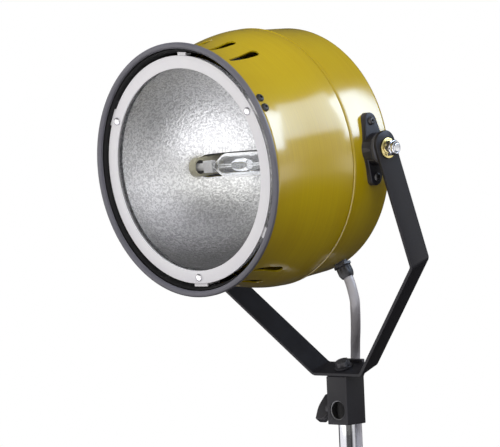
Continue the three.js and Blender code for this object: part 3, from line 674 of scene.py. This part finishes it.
def stand_tube():
    """The stand's spigot, with a waist where the wing screw bears on it."""
    bevel = 1.5
    waist = SPIGOT_RADIUS - 1.8
    waist_low, waist_high = KNOB_CENTRE - 5, KNOB_CENTRE + 5
    top = BLOCK_BOTTOM + SPIGOT_DEPTH
    profile = [
        (0, 0, 0), (SPIGOT_RADIUS, 0, 0), (SPIGOT_RADIUS, waist_low - bevel, 0.3),
        (waist, waist_low, 0.3), (waist, waist_high, 0.3), (SPIGOT_RADIUS, waist_high + bevel, 0.3),
        (SPIGOT_RADIUS, top - bevel, 0.5), (SPIGOT_RADIUS - bevel, top, 0.5), (0, top, 0),
    ]
    detail("stand_tube", lathed(profile, 96), CHROME)


def receiver_block():
    """The block that drops over the spigot, bored both ways, with a lug behind the yoke's base."""
    slope = math.tan(YOKE_LEAN)
    top = BLOCK_TOP - GAP
    lug_front = BLOCK_HALF - 1.1
    lug_back = BLOCK_HALF + 2
    lug_top = BLOCK_TOP + 10.2
    side = rounded([
        (-BLOCK_HALF, BLOCK_BOTTOM, 0.8), (BLOCK_HALF, BLOCK_BOTTOM, 0.8), (BLOCK_HALF, BLOCK_TOP - 6, 2),
        (lug_back, BLOCK_TOP - 3, 1.5), (lug_back, lug_top, 1), (lug_front - 2.1, lug_top, 0.6),
        (lug_front + 0.6, top + (lug_front + 0.6) * slope, 0),
        (-BLOCK_HALF, top - BLOCK_HALF * slope, 0.8),
    ], steps=4)
    body = softened(moved(prism(side, -BLOCK_HALF, BLOCK_HALF), STOOD_UP), 0.7)
    bore = SPIGOT_RADIUS + GAP
    socket_depth = SPIGOT_DEPTH + 1
    socket = turned([(0, BLOCK_BOTTOM - 1), (bore + 1, BLOCK_BOTTOM - 1), (bore, BLOCK_BOTTOM + 0.6),
                     (bore, BLOCK_BOTTOM + socket_depth), (0, BLOCK_BOTTOM + socket_depth)], 64)
    lip = bore + 0.9
    past = 15        # tools run out past the block's faces
    cross = turned([(0, -past), (lip, -past), (lip, -BLOCK_HALF + 0.9), (bore, -BLOCK_HALF + 1.5),
                    (bore, BLOCK_HALF - 1.5), (lip, BLOCK_HALF - 0.9), (lip, past), (0, past)], 64)
    cross.transform(shift(z=KNOB_CENTRE) @ spin("X", 90))
    screw_hole = turned([(0, 0), (M8_CLEARANCE, 0), (M8_CLEARANCE, 14), (0, 14)], 32)
    screw_hole.transform(shift(z=KNOB_CENTRE) @ spin("Y", -90))
    block = carved(body, socket, cross, screw_hole)
    wall = bore + GAP

    def is_bored(face):
        middle = face.calc_center_median()
        in_cross = math.hypot(middle.x, middle.z - KNOB_CENTRE) < wall and abs(middle.y) < BLOCK_HALF - 1
        in_socket = math.hypot(middle.x, middle.y) < wall and middle.z < BLOCK_BOTTOM + socket_depth + 1
        return in_cross or in_socket

    # painted shade: the walls of both bores take the darker second material
    detail("receiver_block", painted(block, is_bored), BLACK, BLACK_PAINT_AND_SHADE)
    bore_lips(lip, bore)


def bore_lips(lip, bore):
    """The bare machined chamfer at each mouth of the cross-bore."""
    front, inner, outer = BLOCK_HALF - 1.6, bore - 0.1, lip - 0.05
    profile = [(inner, front, 0), (outer, front + 0.5, 0), (outer, front + 0.9, 0.1)]
    profile.append((inner, front + 0.4, 0.1))
    ring = turned(rounded(profile, steps=3), 64)
    other = ring.copy()
    other.transform(spin("Y", 180))
    rings = united([ring, other])
    rings.transform(shift(z=KNOB_CENTRE) @ spin("X", 90))
    lips = finish_mesh("cross_bore_lips", rings, [WORN_EDGE])
    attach(lips, BODY_OF["receiver_block"])


def wing_screw():
    """The screw that clamps the spigot, and its knob: a wing blade on a round hub."""
    along_x = shift(z=KNOB_CENTRE) @ spin("Y", -90)
    tip, end = 6.4, 20.5
    stem = turned([(0, tip), (3.4, tip), (M8_RADIUS, 7), (M8_RADIUS, end), (0, end)], 48)
    detail("wing_screw", stem, ZINC, place=along_x)

    half_outline = [(16, -5.5, 1.5), (21.5, -13.5, 2.5), (30.5, -13.5, 2)]
    outline = half_outline + [(33.5, 0, 22)] + [(x, -y, radius) for x, y, radius in reversed(half_outline)]
    half_blade = 3.5
    blade = softened(prism(rounded(outline, steps=8), -half_blade, half_blade), 0.9)
    hub = lathed([(0, 13.2, 0), (6.6, 13.2, 0.5), (6.2, 21.5, 2), (0, 23.5, 0)], 48)
    blade.transform(Matrix(((-1, 0, 0, 0), (0, 0, 1, 0), (0, 1, 0, 0), (0, 0, 0, 1))))
    hub.transform(spin("Y", -90))
    resting_turn = -35
    turn = shift(z=KNOB_CENTRE) @ spin("X", resting_turn)
    detail("wing_knob", united([blade, hub]), PLASTIC, place=turn)


# --- yoke ---

def yoke_bracket():
    """A flat bar bent in a fork: base, two spreading branches and two upright arms with rounded ends."""
    top = PIVOT_RISE + ARM_OVERRUN
    bend = PIVOT_RISE - ARM_LENGTH
    half_t = BAR_THICKNESS / 2
    bend_radius = 6
    branch = math.atan2(bend, YOKE_HALF_SPAN - YOKE_HALF_BASE)
    arm_x = YOKE_HALF_SPAN - half_t
    right = [
        (YOKE_HALF_BASE - half_t * math.tan(branch / 2), half_t, bend_radius),
        (arm_x, bend + half_t * math.tan((math.pi / 2 - branch) / 2), bend_radius), (arm_x, top, 0),
    ]
    left = [(-x, z, radius) for x, z, radius in reversed(right)]
    bent = rounded(left + right, closed=False, steps=8)

    end_radius = BAR_WIDTH / 2 - 0.6
    end_steps = 14
    narrowest, edge = 0.55, 0.45
    ends = [end_radius * (1 - math.cos(math.pi / 2 * i / end_steps)) for i in range(end_steps + 1)]
    heights = [top - rise for rise in ends]
    path = [Vector((-arm_x, 0, z)) for z in heights]
    path += [Vector((x, 0, z)) for x, z in bent[1:-1]]
    path += [Vector((arm_x, 0, z)) for z in reversed(heights)]

    def section_at(i):
        from_end = top - path[i].z
        half_width = BAR_WIDTH / 2
        if from_end < end_radius:
            short = end_radius - from_end
            half_width += math.sqrt(end_radius ** 2 - short ** 2) - end_radius
        return rounded_box(half_t, max(half_width, narrowest), edge, steps=3)

    bar = swept(path, section_at, Vector((0, 1, 0)))
    detail("yoke_bracket", bar, BLACK, place=YOKE)


def washer(outer, low, high, edge=0.25, segments=64):
    inner = M8_CLEARANCE
    profile = [(inner, low, 0), (outer, low, edge), (outer, high, edge), (inner, high, 0)]
    return turned(rounded(profile, steps=3), segments)


def yoke_fasteners():
    """The bolt and washer on the receiver, and a washer and friction disc on each arm."""
    seat = BAR_THICKNESS + GAP
    base_washer, bolt_tip = 1.5, -10.5
    detail("base_washer", washer(8.5, seat, seat + base_washer), BLACK, place=YOKE)
    base = seat + GAP + base_washer
    head = turned([
        (0, bolt_tip), (M8_RADIUS, bolt_tip), (M8_RADIUS, base), (6.1, base), (6.3, base + 0.4, hexagon),
        (6.3, base + 4.9, hexagon), (5.9, base + 5.4), (0, base + 5.4),
    ], 48)
    detail("base_bolt", head, PLASTIC, place=YOKE)
    pivot = shift(z=PIVOT_RISE)
    disc_inside, disc_outside = 124.4, 127.7
    for word, side in SIDES.items():
        out = YOKE @ pivot @ spin("Y", side * 90)
        face = YOKE_HALF_SPAN + GAP
        detail(f"arm_washer_{word}", washer(9, face, face + ARM_WASHER), YELLOW_ZINC, place=out)
        disc = washer(14.2, disc_inside, disc_outside, edge=0.5, segments=72)
        detail(f"friction_disc_{word}", disc, FIBRE, place=out)


# --- head: drum ---

def front_shell_radius(depth):
    """The neck runs straight, then swells smoothly to the bead."""
    t = max(0, min(1, (depth - SWELL_START) / (SWELL_END - SWELL_START)))
    bulge = BEAD_RADIUS - 0.2
    return NECK_RADIUS + (bulge - NECK_RADIUS) * (1 - math.cos(math.pi * t)) / 2


def vent_tool():
    """A teardrop with its narrow end towards the rim, pushed through the top of the drum."""
    front_radius, back_radius = 1.7, 4.6
    inside, outside = 92, 118
    front, back = 20 + front_radius, 53 - back_radius
    flank = math.degrees(math.asin((back_radius - front_radius) / (back - front)))
    outline = arc((0, front), front_radius, 180 + flank, 360 - flank, 10)
    outline += arc((0, back), back_radius, -flank, 180 + flank, 16)
    return moved(prism(outline, inside, outside), shift(y=-PIVOT_TO_RIM))


def vent_tools():
    tools = []
    for side in (0, 180):
        for angle in (-30, -15, 0, 15, 30):
            tools.append(moved(vent_tool(), HEAD @ spin("Y", side + angle)))
    return tools


def front_drum():
    """The widening front shell, from its lip to the rolled bead at the seam, with its vents cut through."""
    lip_depth, lip_radius = 3.8, 110.4
    swell = SWELL_END - SWELL_START
    outer = rounded([
        (lip_radius - 0.9, lip_depth, 0.3), (lip_radius, lip_depth + 0.8, 0.3),
        (lip_radius - 3.2, lip_depth + 3.2, 3), (NECK_RADIUS, lip_depth + 7.2, 9),
        (NECK_RADIUS, SWELL_START, 0),
    ], closed=False, steps=6)
    steps = 44
    for i in range(1, steps + 1):
        depth = SWELL_START + swell * i / steps
        outer.append((front_shell_radius(depth), depth))
    roll = 1.5
    groove_radius, seam_radius = BEAD_RADIUS - 2.4, BEAD_RADIUS - 1.6
    bead = [(BEAD_RADIUS - 0.7, SEAM_DEPTH - 5.4), (groove_radius, SEAM_DEPTH - 5.0),
            (groove_radius, SEAM_DEPTH - 4.2)]
    bead += arc((BEAD_RADIUS - roll, SEAM_DEPTH - 2.3), roll, -80, 90, 12)
    bead.append((seam_radius, SEAM_DEPTH))
    inner = [(seam_radius - SHEET, SEAM_DEPTH)]
    inner_steps = 12
    for i in range(inner_steps, -1, -1):
        depth = SWELL_START + swell * i / inner_steps
        inner.append((front_shell_radius(depth) - SHEET, depth))
    inner += [(NECK_RADIUS - SHEET, lip_depth + 7.8), (lip_radius - 4, lip_depth + 2.6)]
    shell = moved(turned(outer + bead + inner, 240), ALONG_DEPTH)
    shell = carved(shell, *vent_tools())
    to_drum = ALONG_DEPTH.inverted()
    shell.normal_update()

    def is_inside(face):
        middle = to_drum @ face.calc_center_median()
        normal = to_drum.to_3x3() @ face.normal
        outward = normal.xy.dot(middle.xy.normalized())
        return outward < -0.2 or middle.z < lip_depth + 0.4

    # painted shade: the drum's inside faces take the black second material so the inside seen through the vents
    # stays dark
    detail("front_drum", painted(shell, is_inside), GOLD, BLACK_PAINT_AND_SHADE, sharp=28)


def rear_drum():
    start = SEAM_DEPTH + GAP
    straight_end = 120
    back_radius, opening = 112.4, 58
    corner = 5
    profile = rounded([
        (REAR_RADIUS, start, 0.3), (REAR_RADIUS - 1, straight_end, 0), (back_radius, DRUM_DEPTH, corner),
        (opening, DRUM_DEPTH, 0.3), (opening, DRUM_DEPTH - SHEET, 0.3),
        (back_radius - SHEET, DRUM_DEPTH - SHEET, corner - SHEET), (REAR_RADIUS - SHEET, start, 0.3),
    ], steps=8)
    detail("rear_drum", moved(turned(profile, 240), ALONG_DEPTH), GOLD, sharp=28)


def rear_cover():
    front = DRUM_DEPTH + GAP
    back = front + COVER_SHEET
    profile = [
        (0, front, 0), (COVER_RADIUS, front, 0.3), (COVER_RADIUS, back, 1.0), (54, back, 1.5),
        (52.5, back - 0.8, 1.5), (0, back - 0.8, 0),
    ]
    detail("rear_cover", lathed(profile, 144, steps=4), BLACK, place=ALONG_DEPTH)


def front_rim():
    inner = 106.1
    middle, half = (inner + RIM_RADIUS) / 2, (RIM_RADIUS - inner) / 2
    nose_depth, back = 2.2, 3.5
    nose = [(x, nose_depth + HAIR + y * nose_depth / half) for x, y in arc((middle, 0), half, 180, 360, 18)]
    profile = [(inner, back)] + nose + [(RIM_RADIUS, back)]
    detail("front_rim", turned(profile, 240), RIM_GREY, place=ALONG_DEPTH)


def light_baffle():
    """The black wall inside the neck."""
    wall, mouth, bend, end = 1, 105, 11, 38
    inside = NECK_RADIUS - SHEET - GAP - wall
    profile = rounded([
        (mouth, 3.9, 0.2), (inside, bend, 4), (inside, end, 0.3), (inside + wall, end, 0.3),
        (inside + wall, bend, 4), (mouth + 0.6, 5, 0.2),
    ], steps=5)
    detail("light_baffle", turned(profile, 200), BLACK_PAINT_AND_SHADE, place=ALONG_DEPTH)


# --- head: screws ---

def button_screw(tip, seat):
    """An M4 button-head screw with a hexagonal socket."""
    return turned([
        (0, tip), (1.9, tip), (1.9, seat), (3.7, seat), (3.8, seat + 0.3), (3.6, seat + 1.0),
        (3.1, seat + 1.6), (2.4, seat + 2.0), (1.75, seat + 2.1), (1.25, seat + 2.05, hexagon),
        (1.25, seat + 0.9, hexagon), (0, seat + 0.7),
    ], 48)


def drum_screws():
    """The screws of the ring's brackets, of the rear cover and of the trunnion flanges."""
    half_split, bracket_depth, bracket_tip = 2.6, 14.5, 98.8
    angles = [ring + split for ring in RING_SCREW_ANGLES for split in (-half_split, half_split)]
    for i, angle in enumerate(angles):
        screw = button_screw(bracket_tip, NECK_RADIUS + GAP)
        detail(f"bracket_screw_{i + 1}", screw, BLACK_STEEL, place=on_drum(bracket_depth, angle))
    cover_circle, cover_length = 66, 6
    seat = DRUM_DEPTH + 2 * GAP + COVER_SHEET
    for i in range(4):
        screw = button_screw(seat - cover_length, seat)
        detail(f"cover_screw_{i + 1}", screw, BLACK_STEEL, place=on_front(0, cover_circle, 45 + 90 * i))
    ear_fall = (FLANGE_SCREW_RISE - EAR_HINGE) * math.tan(EAR_DRAFT)
    for word, side in SIDES.items():
        for level, rise in (("upper", FLANGE_SCREW_RISE), ("lower", -FLANGE_SCREW_RISE)):
            lean = Matrix.Rotation(-side * math.copysign(EAR_DRAFT, rise), 4, "Y")
            place = on_tilt_axis(side, rise) @ shift(z=TRUNNION_FACE - ear_fall) @ lean
            detail(f"flange_screw_{word}_{level}", button_screw(-10, GAP), BLACK_STEEL, place=place)


# --- head: ring, glass and reflector ---

def retaining_ring():
    inner = 88.6
    profile = rounded([
        (inner, RING_FRONT, 0.45), (RING_RADIUS, RING_FRONT, 0.45), (RING_RADIUS, RING_BACK, 0.2),
        (inner, RING_BACK, 0.2),
    ], steps=4)
    detail("retaining_ring", turned(profile, 240), SILVER, place=ALONG_DEPTH)


def ring_screws():
    seat = RING_FRONT - GAP
    radius, rise, steps = 3.5, 2, 8
    shank, tip, circle = 1.9, seat + 6, 94.3
    turns = [math.radians(90 * i / steps) for i in range(1, steps + 1)]
    dome = [(radius * math.sin(turn), seat - rise * math.cos(turn)) for turn in turns]
    profile = [(0, seat - rise)] + dome + [(shank, seat), (shank, tip), (0, tip)]
    for i, angle in enumerate(RING_SCREW_ANGLES):
        detail(f"ring_screw_{i + 1}", turned(profile, 48), BRIGHT, place=on_front(0, circle, angle))


def glass_and_gasket():
    inner, outer = 88.8, 91.4
    front = RING_BACK + GAP
    back = front + 1.7
    profile = [(inner, front, 0.5), (outer, front, 0.2), (outer, back, 0.2), (inner, back, 0.5)]
    detail("glass_gasket", turned(rounded(profile, steps=3), 200), SILICONE, place=ALONG_DEPTH)
    front += 2
    back = front + 3.4
    pane = [(0, front, 0), (GLASS_RADIUS, front, 0.4), (GLASS_RADIUS, back, 0.4), (0, back, 0)]
    detail("front_glass", lathed(pane, 160, steps=3), PANE, place=ALONG_DEPTH)


def worm_height(point):
    """Height of the hammered pattern, from -1 to 1: short ridges that wander, in cells of 1.6 mm."""
    cell, sway_cell, sway_reach, contrast = 1.6, 6.0, 2.0, 4
    sway = noise.noise_vector(point / sway_cell) * sway_reach
    return math.tanh(contrast * noise.noise((point + sway) / cell))


def bowl_curve(wall, steps):
    """A quarter ellipse from the bowl's deepest point to its mouth, a wall's thickness outside it."""
    curve = []
    for i in range(steps + 1):
        turn = math.radians(90 * i / steps)
        depth = BOWL_START + (BOWL_LENGTH + wall) * math.cos(turn)
        curve.append(((BOWL_RADIUS + wall) * math.sin(turn), depth))
    return curve


def reflector():
    """The bowl, with a slot for the lamp across it and its inside hammered in the mesh itself."""
    wall, hammer_depth = 1.1, 0.06
    outside = bowl_curve(wall, 24)[::-1]
    flange = BOWL_START - 1.2
    profile = bowl_curve(0, 210) + [
        (BOWL_RADIUS, flange), (BOWL_FLANGE_RADIUS, flange), (BOWL_FLANGE_RADIUS, BOWL_START),
        (BOWL_RADIUS + wall, BOWL_START),
    ] + outside[1:]
    bowl = turned(profile, 680)

    half_height, half_length = 10.6, 62.6
    centre = half_length - half_height
    stadium = arc((centre, LAMP_DROP), half_height, -90, 90, 20)
    stadium += arc((-centre, LAMP_DROP), half_height, 90, 270, 20)
    bowl = carved(bowl, prism(stadium, 60, 120))
    for vertex in bowl.verts:
        x, y = vertex.co.xy
        depth = vertex.co.z - BOWL_START
        is_inside = depth > 1 and (math.hypot(x, y) / BOWL_RADIUS) ** 2 + (depth / BOWL_LENGTH) ** 2 < 1.004
        if is_inside:
            outward = Vector((x / BOWL_RADIUS ** 2, y / BOWL_RADIUS ** 2, depth / BOWL_LENGTH ** 2))
            vertex.co -= outward.normalized() * hammer_depth * (1 + worm_height(vertex.co))
    detail("reflector", bowl, HAMMERED, place=ALONG_DEPTH, sharp=45)


# --- head: lamp ---

def lamp():
    """The double-ended lamp: quartz bulb, arc tube, pressed ends, and the holders it lies in."""
    neck, neck_radius, shoulder, radius, glass = 34.5, 3.4, 19.5, 11.1, 1.1

    def skin(thinner):
        small, large = neck_radius - thinner, radius - thinner
        outline = [(small, -neck, 0.4), (large, -shoulder, 9), (large, shoulder, 9), (small, neck, 0.4)]
        return rounded(outline, closed=False, steps=10)

    detail("lamp_envelope", turned(skin(0) + skin(glass)[::-1], 72), QUARTZ, place=LAMP)

    half, leg, bulge, end, steps = 12, 1.3, 4.4, 35.4, 12
    turns = [math.pi * i / steps for i in range(1, steps)]
    body = [(leg + bulge * math.sin(turn), -half * math.cos(turn)) for turn in turns]
    profile = [(0, -end), (leg, -end), (leg, -half)] + body + [(leg, half), (leg, end), (0, end)]
    detail("arc_tube", turned(profile, 48), QUARTZ, place=LAMP)

    for word, side in SIDES.items():
        face = LAMP @ spin("Y", 0 if side > 0 else 180)
        pinch = prism(rounded_box(5.6, 3.4, 1.2), 35.8, 47)
        nose = lathed([(0, 46, 0), (3.6, 46, 0), (3.6, 57, 1), (0, 57, 0)], 48)
        detail(f"lamp_cap_{word}", united([softened(pinch, 0.8), nose]), PINCH, place=face)
        lampholder(f"lampholder_{word}", face)


def lampholder(name, face):
    """A ceramic post with a round socket, its back resting on the bridge behind the reflector."""
    radius, near, far = 8.6, 53, 60.2
    bridge_depth = 104.3
    foot = bridge_depth - LAMP_DEPTH
    outline = arc((0, 0), radius, -90, 90, 18) + [(-foot, radius), (-foot, -radius)]
    post = softened(prism(outline, near, far), 0.6)
    floor = 57.6
    socket = turned([(0, near - 1), (6.9, near - 1), (6.2, near + 0.8), (5.8, 56.6), (3.9, 57),
                     (3.9, floor), (0, floor)], 48)

    def in_socket(facet):
        middle = facet.calc_center_median()
        return math.hypot(middle.x, middle.y) < 6.1 and near + 0.9 < middle.z < far - 1

    # painted shade: the inside of each socket takes the black second material
    post = painted(carved(post, socket), in_socket)
    detail(name, moved(post, spin("Z", -90)), CERAMIC, BLACK_PAINT_AND_SHADE, place=face)


# --- head: trunnions ---

def trunnion(word, side):
    """A flange cast to fit the drum, its ears falling back a little, with its stud and lock nut."""
    middle, ear, inside = 13.2, 7.4, 104
    tangent = math.degrees(math.acos((middle - ear) / FLANGE_SCREW_RISE))
    outline = arc((0, 0), middle, -90 + tangent, 90 - tangent, 12)
    outline += arc((0, FLANGE_SCREW_RISE), ear, 90 - tangent, 90 + tangent, 14)
    outline += arc((0, 0), middle, 90 + tangent, 270 - tangent, 12)
    outline += arc((0, -FLANGE_SCREW_RISE), ear, 270 - tangent, 270 + tangent, 14)
    plate = prism(outline, inside, TRUNNION_FACE)
    for half in (0, 180):
        wedge = prism([(-30, 0), (60, 0), (60, 20), (-30, 20)], -20, 20)
        lean = Matrix.Rotation(-EAR_DRAFT, 4, "X") @ STOOD_UP
        hinge = shift(y=EAR_HINGE, z=TRUNNION_FACE)
        plate = carved(plate, moved(wedge, spin("Z", half) @ hinge @ lean))
    plate = moved(softened(plate, 0.9), STOOD_UP)
    boss_radius, boss_root, boss_face = 14, 110, 124.1
    boss = rounded([(0, boss_root, 0), (boss_radius, boss_root, 0), (boss_radius, boss_face, 0.8),
                    (11, boss_face, 0)], closed=False)
    boss = moved(turned(boss + [(0, boss_face)], 72), spin("Y", 90))
    casting = combined(plate, boss, "UNION")
    drum_radius, past = REAR_RADIUS - 0.9, 40
    drum = turned([(0, -past), (drum_radius, -past), (drum_radius, past), (0, past)], 160)
    casting = carved(casting, moved(drum, spin("X", -90)))
    half_turn = spin("Z", 0 if side > 0 else 180)
    detail(f"trunnion_flange_{word}", casting, BLACK, place=HEAD @ half_turn)

    root = 115.2
    stud = [(0, root, 0), (M8_RADIUS, root, 0), (M8_RADIUS, STUD_END, 0.8), (0, STUD_END, 0)]
    detail(f"trunnion_stud_{word}", lathed(stud, 48), ZINC, place=on_tilt_axis(side))

    seat = YOKE_HALF_SPAN + 2 * GAP + ARM_WASHER
    nut = turned([
        (M8_CLEARANCE, seat), (6.2, seat), (6.5, seat + 0.5, hexagon), (6.5, seat + 5.6, hexagon),
        (6.1, seat + 6.2), (5.8, seat + 6.3), (5.8, seat + 8.2), (5.3, seat + 8.8), (4.6, seat + 8.8),
        (M8_CLEARANCE, seat + 8.4),
    ], 72)
    detail(f"lock_nut_{word}", nut, ZINC, place=on_tilt_axis(side))


# --- cable ---

def cable_gland():
    """A gland with a hexagonal body and a fluted cap that tapers to the cable."""
    root, seat = 104, 114.4
    bore = CABLE_RADIUS + GAP
    body = turned([
        (bore, root), (6.2, root), (6.2, seat), (6.9, seat), (7.2, seat + 0.4, hexagon),
        (7.2, seat + 2.6, hexagon), (6.9, seat + 3.0), (6.4, seat + 3.4), (6.9, seat + 4.0, fluted),
        (6.9, seat + 9.2, fluted), (6.6, seat + 10.8), (6.1, seat + 12.2), (5.5, seat + 13.2),
        (5.1, seat + 13.6), (bore, seat + 13.6),
    ], 72)
    detail("cable_gland", body, PLASTIC, place=on_drum(GLAND_DEPTH, GLAND_ANGLE))


def cable():
    """One cable from the gland, round the receiver's lug and down beside the stand."""
    gland = on_drum(GLAND_DEPTH, GLAND_ANGLE)
    inside = gland @ Vector((0, 0, 108))
    mouth = gland @ Vector((0, 0, 129))
    base = BLOCK_BOTTOM
    over_lug = (13, 2, base + 77)
    points = [
        inside,
        mouth,
        (60.5, -49.5, base + 120), (57, -45, base + 110), (46, -33, base + 98), (31, -17, base + 87),
        over_lug,
        (-1, 17, base + 67), (-6, 21.8, base + 54), (-4.5, 20.5, base + 34), (-4, 18.5, base + 10),
        (-4, 18.5, base / 2), (-4, 18.5, 1),
    ]
    path = smooth_path(points, 10)
    section = arc((0, 0), CABLE_RADIUS, 0, 345, 23)     # 24 points, 15 degrees apart
    sheath = swept(path, lambda i: section, Vector((1, 1, 0)).normalized())
    made = finish_mesh("cable", sheath, [SHEATH])
    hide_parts("cable_tail", "cable_drop")
    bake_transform(made)


# --- stage ---

def stage_floor():
    """A pale floor that fades into the white surroundings away from the object."""
    half, drop = 1.2, 0.0005
    data = bpy.data.meshes.new("floor")
    corners = [(-half, -half, 0), (half, -half, 0), (half, half, 0), (-half, half, 0)]
    data.from_pydata(corners, [], [(0, 1, 2, 3)])
    floor = placed("floor", data)
    floor.location.z = -drop
    material, tree, shader = new_material("floor")
    tree.nodes.remove(shader)
    where = object_place(tree)
    away = add_node(tree, "VectorMath", {0: where}, operation="LENGTH").outputs["Value"]
    camera_ray = add_node(tree, "LightPath").outputs["Is Camera Ray"]
    paper = add_node(tree, "BsdfDiffuse", {"Color": (0.8, 0.8, 0.8, 1)}).outputs[0]
    white = add_node(tree, "Emission", {"Color": (1, 1, 1, 1), "Strength": 1.0}).outputs[0]
    far = remap(tree, away, 0.12, 0.34)
    seen = mixed_shader(tree, far, paper, white)
    dim = add_node(tree, "BsdfDiffuse", {"Color": (0.14, 0.13, 0.12, 1)}).outputs[0]
    clear = add_node(tree, "BsdfTransparent", {"Color": (0.55, 0.55, 0.58, 1)}).outputs[0]
    glossy_ray = add_node(tree, "LightPath").outputs["Is Glossy Ray"]
    unseen = mixed_shader(tree, glossy_ray, dim, clear)
    final = mixed_shader(tree, camera_ray, unseen, seen)
    tree.links.new(final, tree.nodes["Material Output"].inputs["Surface"])
    data.materials.append(material)


def surroundings():
    """White to the camera, a soft dome to matt surfaces, and bright cards with dark gaps to shiny ones."""
    world = bpy.data.worlds.new("studio")
    bpy.context.scene.world = world
    world.use_nodes = True
    tree = world.node_tree
    tree.nodes.clear()
    way = add_node(tree, "TexCoord").outputs["Generated"]
    height = add_node(tree, "SeparateXYZ", {0: way}).outputs["Z"]
    below_level = 0.10  # the stand mirrors the room from about here
    off_stand = maths(tree, "ABSOLUTE", maths(tree, "ADD", height, below_level))
    low, high = (0.07, 0.03, 0.016, 1), (1.02, 1.02, 1.04, 1)
    dome = mixed(tree, remap(tree, height, -0.55, 0.85), low, high)

    def facing(azimuth, half_width):
        """1 for directions within a half width of an azimuth, both in degrees, and 0 outside."""
        a = math.radians(azimuth)
        ends = {0: way, 1: (math.sin(a), -math.cos(a), 0)}
        toward = add_node(tree, "VectorMath", ends, operation="DOT_PRODUCT").outputs["Value"]
        edge, fade = math.cos(math.radians(half_width)), 0.1
        return remap(tree, toward, edge - fade, edge + fade)

    def product(*values):
        return maths(tree, "MULTIPLY", *values)

    above_floor = remap(tree, height, -0.40, -0.15)
    flag = product(facing(66, 42), remap(tree, off_stand, 0.10, 0.14, 1, 0))
    unflagged = remap(tree, flag, 0, 1, 1, 0.06)
    low_glow = remap(tree, height, -0.30, -0.12, 3.1, 1.7)
    below_room = remap(tree, height, 0.12, 0.70, 1, 0.0)
    front_card = product(facing(5, 82), low_glow, below_room, unflagged)
    high_fade = remap(tree, height, 0.20, 0.34, 0.70, 0.12)
    rear_card = product(facing(124, 24), above_floor, high_fade, unflagged)
    stand_card = product(facing(154, 28), remap(tree, off_stand, 0.08, 0.12, 0.8, 0))
    gap_glow = 0.06
    glow = maths(tree, "ADD", rear_card, stand_card, front_card, gap_glow)
    paths = add_node(tree, "LightPath").outputs
    soft = add_node(tree, "Background", {"Color": dome, "Strength": 1.0}).outputs[0]
    shiny = add_node(tree, "Background", {"Color": (1, 0.98, 0.96, 1), "Strength": glow}).outputs[0]
    white = add_node(tree, "Background", {"Color": (1, 1, 1, 1), "Strength": 1.0}).outputs[0]
    lit = mixed_shader(tree, paths["Is Diffuse Ray"], shiny, soft)
    add_node(tree, "OutputWorld", {"Surface": mixed_shader(tree, paths["Is Camera Ray"], lit, white)})


AIM = (TILT_POINT + Vector((34.8, -75.1, -60.4))) * MM  # what the middle of the picture looks at


def direction(azimuth, elevation):
    """A unit vector, its azimuth measured from -Y towards +X."""
    a, e = math.radians(azimuth), math.radians(elevation)
    return Vector((math.sin(a) * math.cos(e), -math.cos(a) * math.cos(e), math.sin(e)))


def softbox(name, azimuth, elevation, distance, width, height, brightness, is_mirrored):
    """A rectangular light facing the head. Its brightness is its radiance.

    A mirrored box shows only in shiny surfaces; any other lights only matt ones.
    """
    target = Vector(TILT_POINT) * MM
    away = direction(azimuth, elevation)
    data = bpy.data.lights.new(name, "AREA")
    data.shape = "RECTANGLE"
    data.size = width
    data.size_y = height
    data.energy = brightness * math.pi * width * height
    data.color = (0.63, 0.77, 1.0) if is_mirrored else (1, 1, 1)
    light = placed(name, data)
    light.location = target + away * distance
    light.rotation_euler = (-away).to_track_quat("-Z", "Y").to_euler()
    light.visible_camera = False
    light.visible_glossy = is_mirrored
    light.visible_diffuse = not is_mirrored


def lights():
    softbox("key_box", 139, 24, distance=1.6, width=0.60, height=0.76, brightness=7.4, is_mirrored=True)
    softbox("side_box", 115, 30, distance=1.6, width=0.66, height=0.76, brightness=3.7, is_mirrored=True)
    softbox("front_fill", 60, 32, distance=2.0, width=1.2, height=1.2, brightness=2.5, is_mirrored=False)


def camera():
    """A long lens at the height of the lamp, round to its front and its left hand."""
    back = direction(44.65, 0.62)
    distance, roll = 2.0, 2.42
    data = bpy.data.cameras.new("camera")
    data.lens = 165.25
    data.sensor_width = 36
    made = placed("camera", data)
    turn = (-back).to_track_quat("-Z", "Y").to_matrix().to_4x4() @ spin("Z", -roll)
    made.matrix_world = Matrix.Translation(AIM + back * distance) @ turn
    bpy.context.scene.camera = made
    bpy.context.scene.view_settings.view_transform = "Standard"


# --- the whole light ---

stand_tube()
receiver_block()
wing_screw()
yoke_bracket()
yoke_fasteners()
front_drum()
rear_drum()
rear_cover()
front_rim()
light_baffle()
drum_screws()
retaining_ring()
ring_screws()
glass_and_gasket()
reflector()
lamp()
for word, side in SIDES.items():
    trunnion(word, side)
cable_gland()
cable()
for kept in ("ring_bracket_1", "ring_bracket_2", "ring_bracket_3", "glass_clip_top", "glass_clip_lower"):
    dressed(kept, SILVER)
dressed("gland_nut", PLASTIC)
dressed("terminal_block", CERAMIC)
dressed("lamp_bridge", BLACK_STEEL)

stage_floor()
surroundings()
lights()
camera()
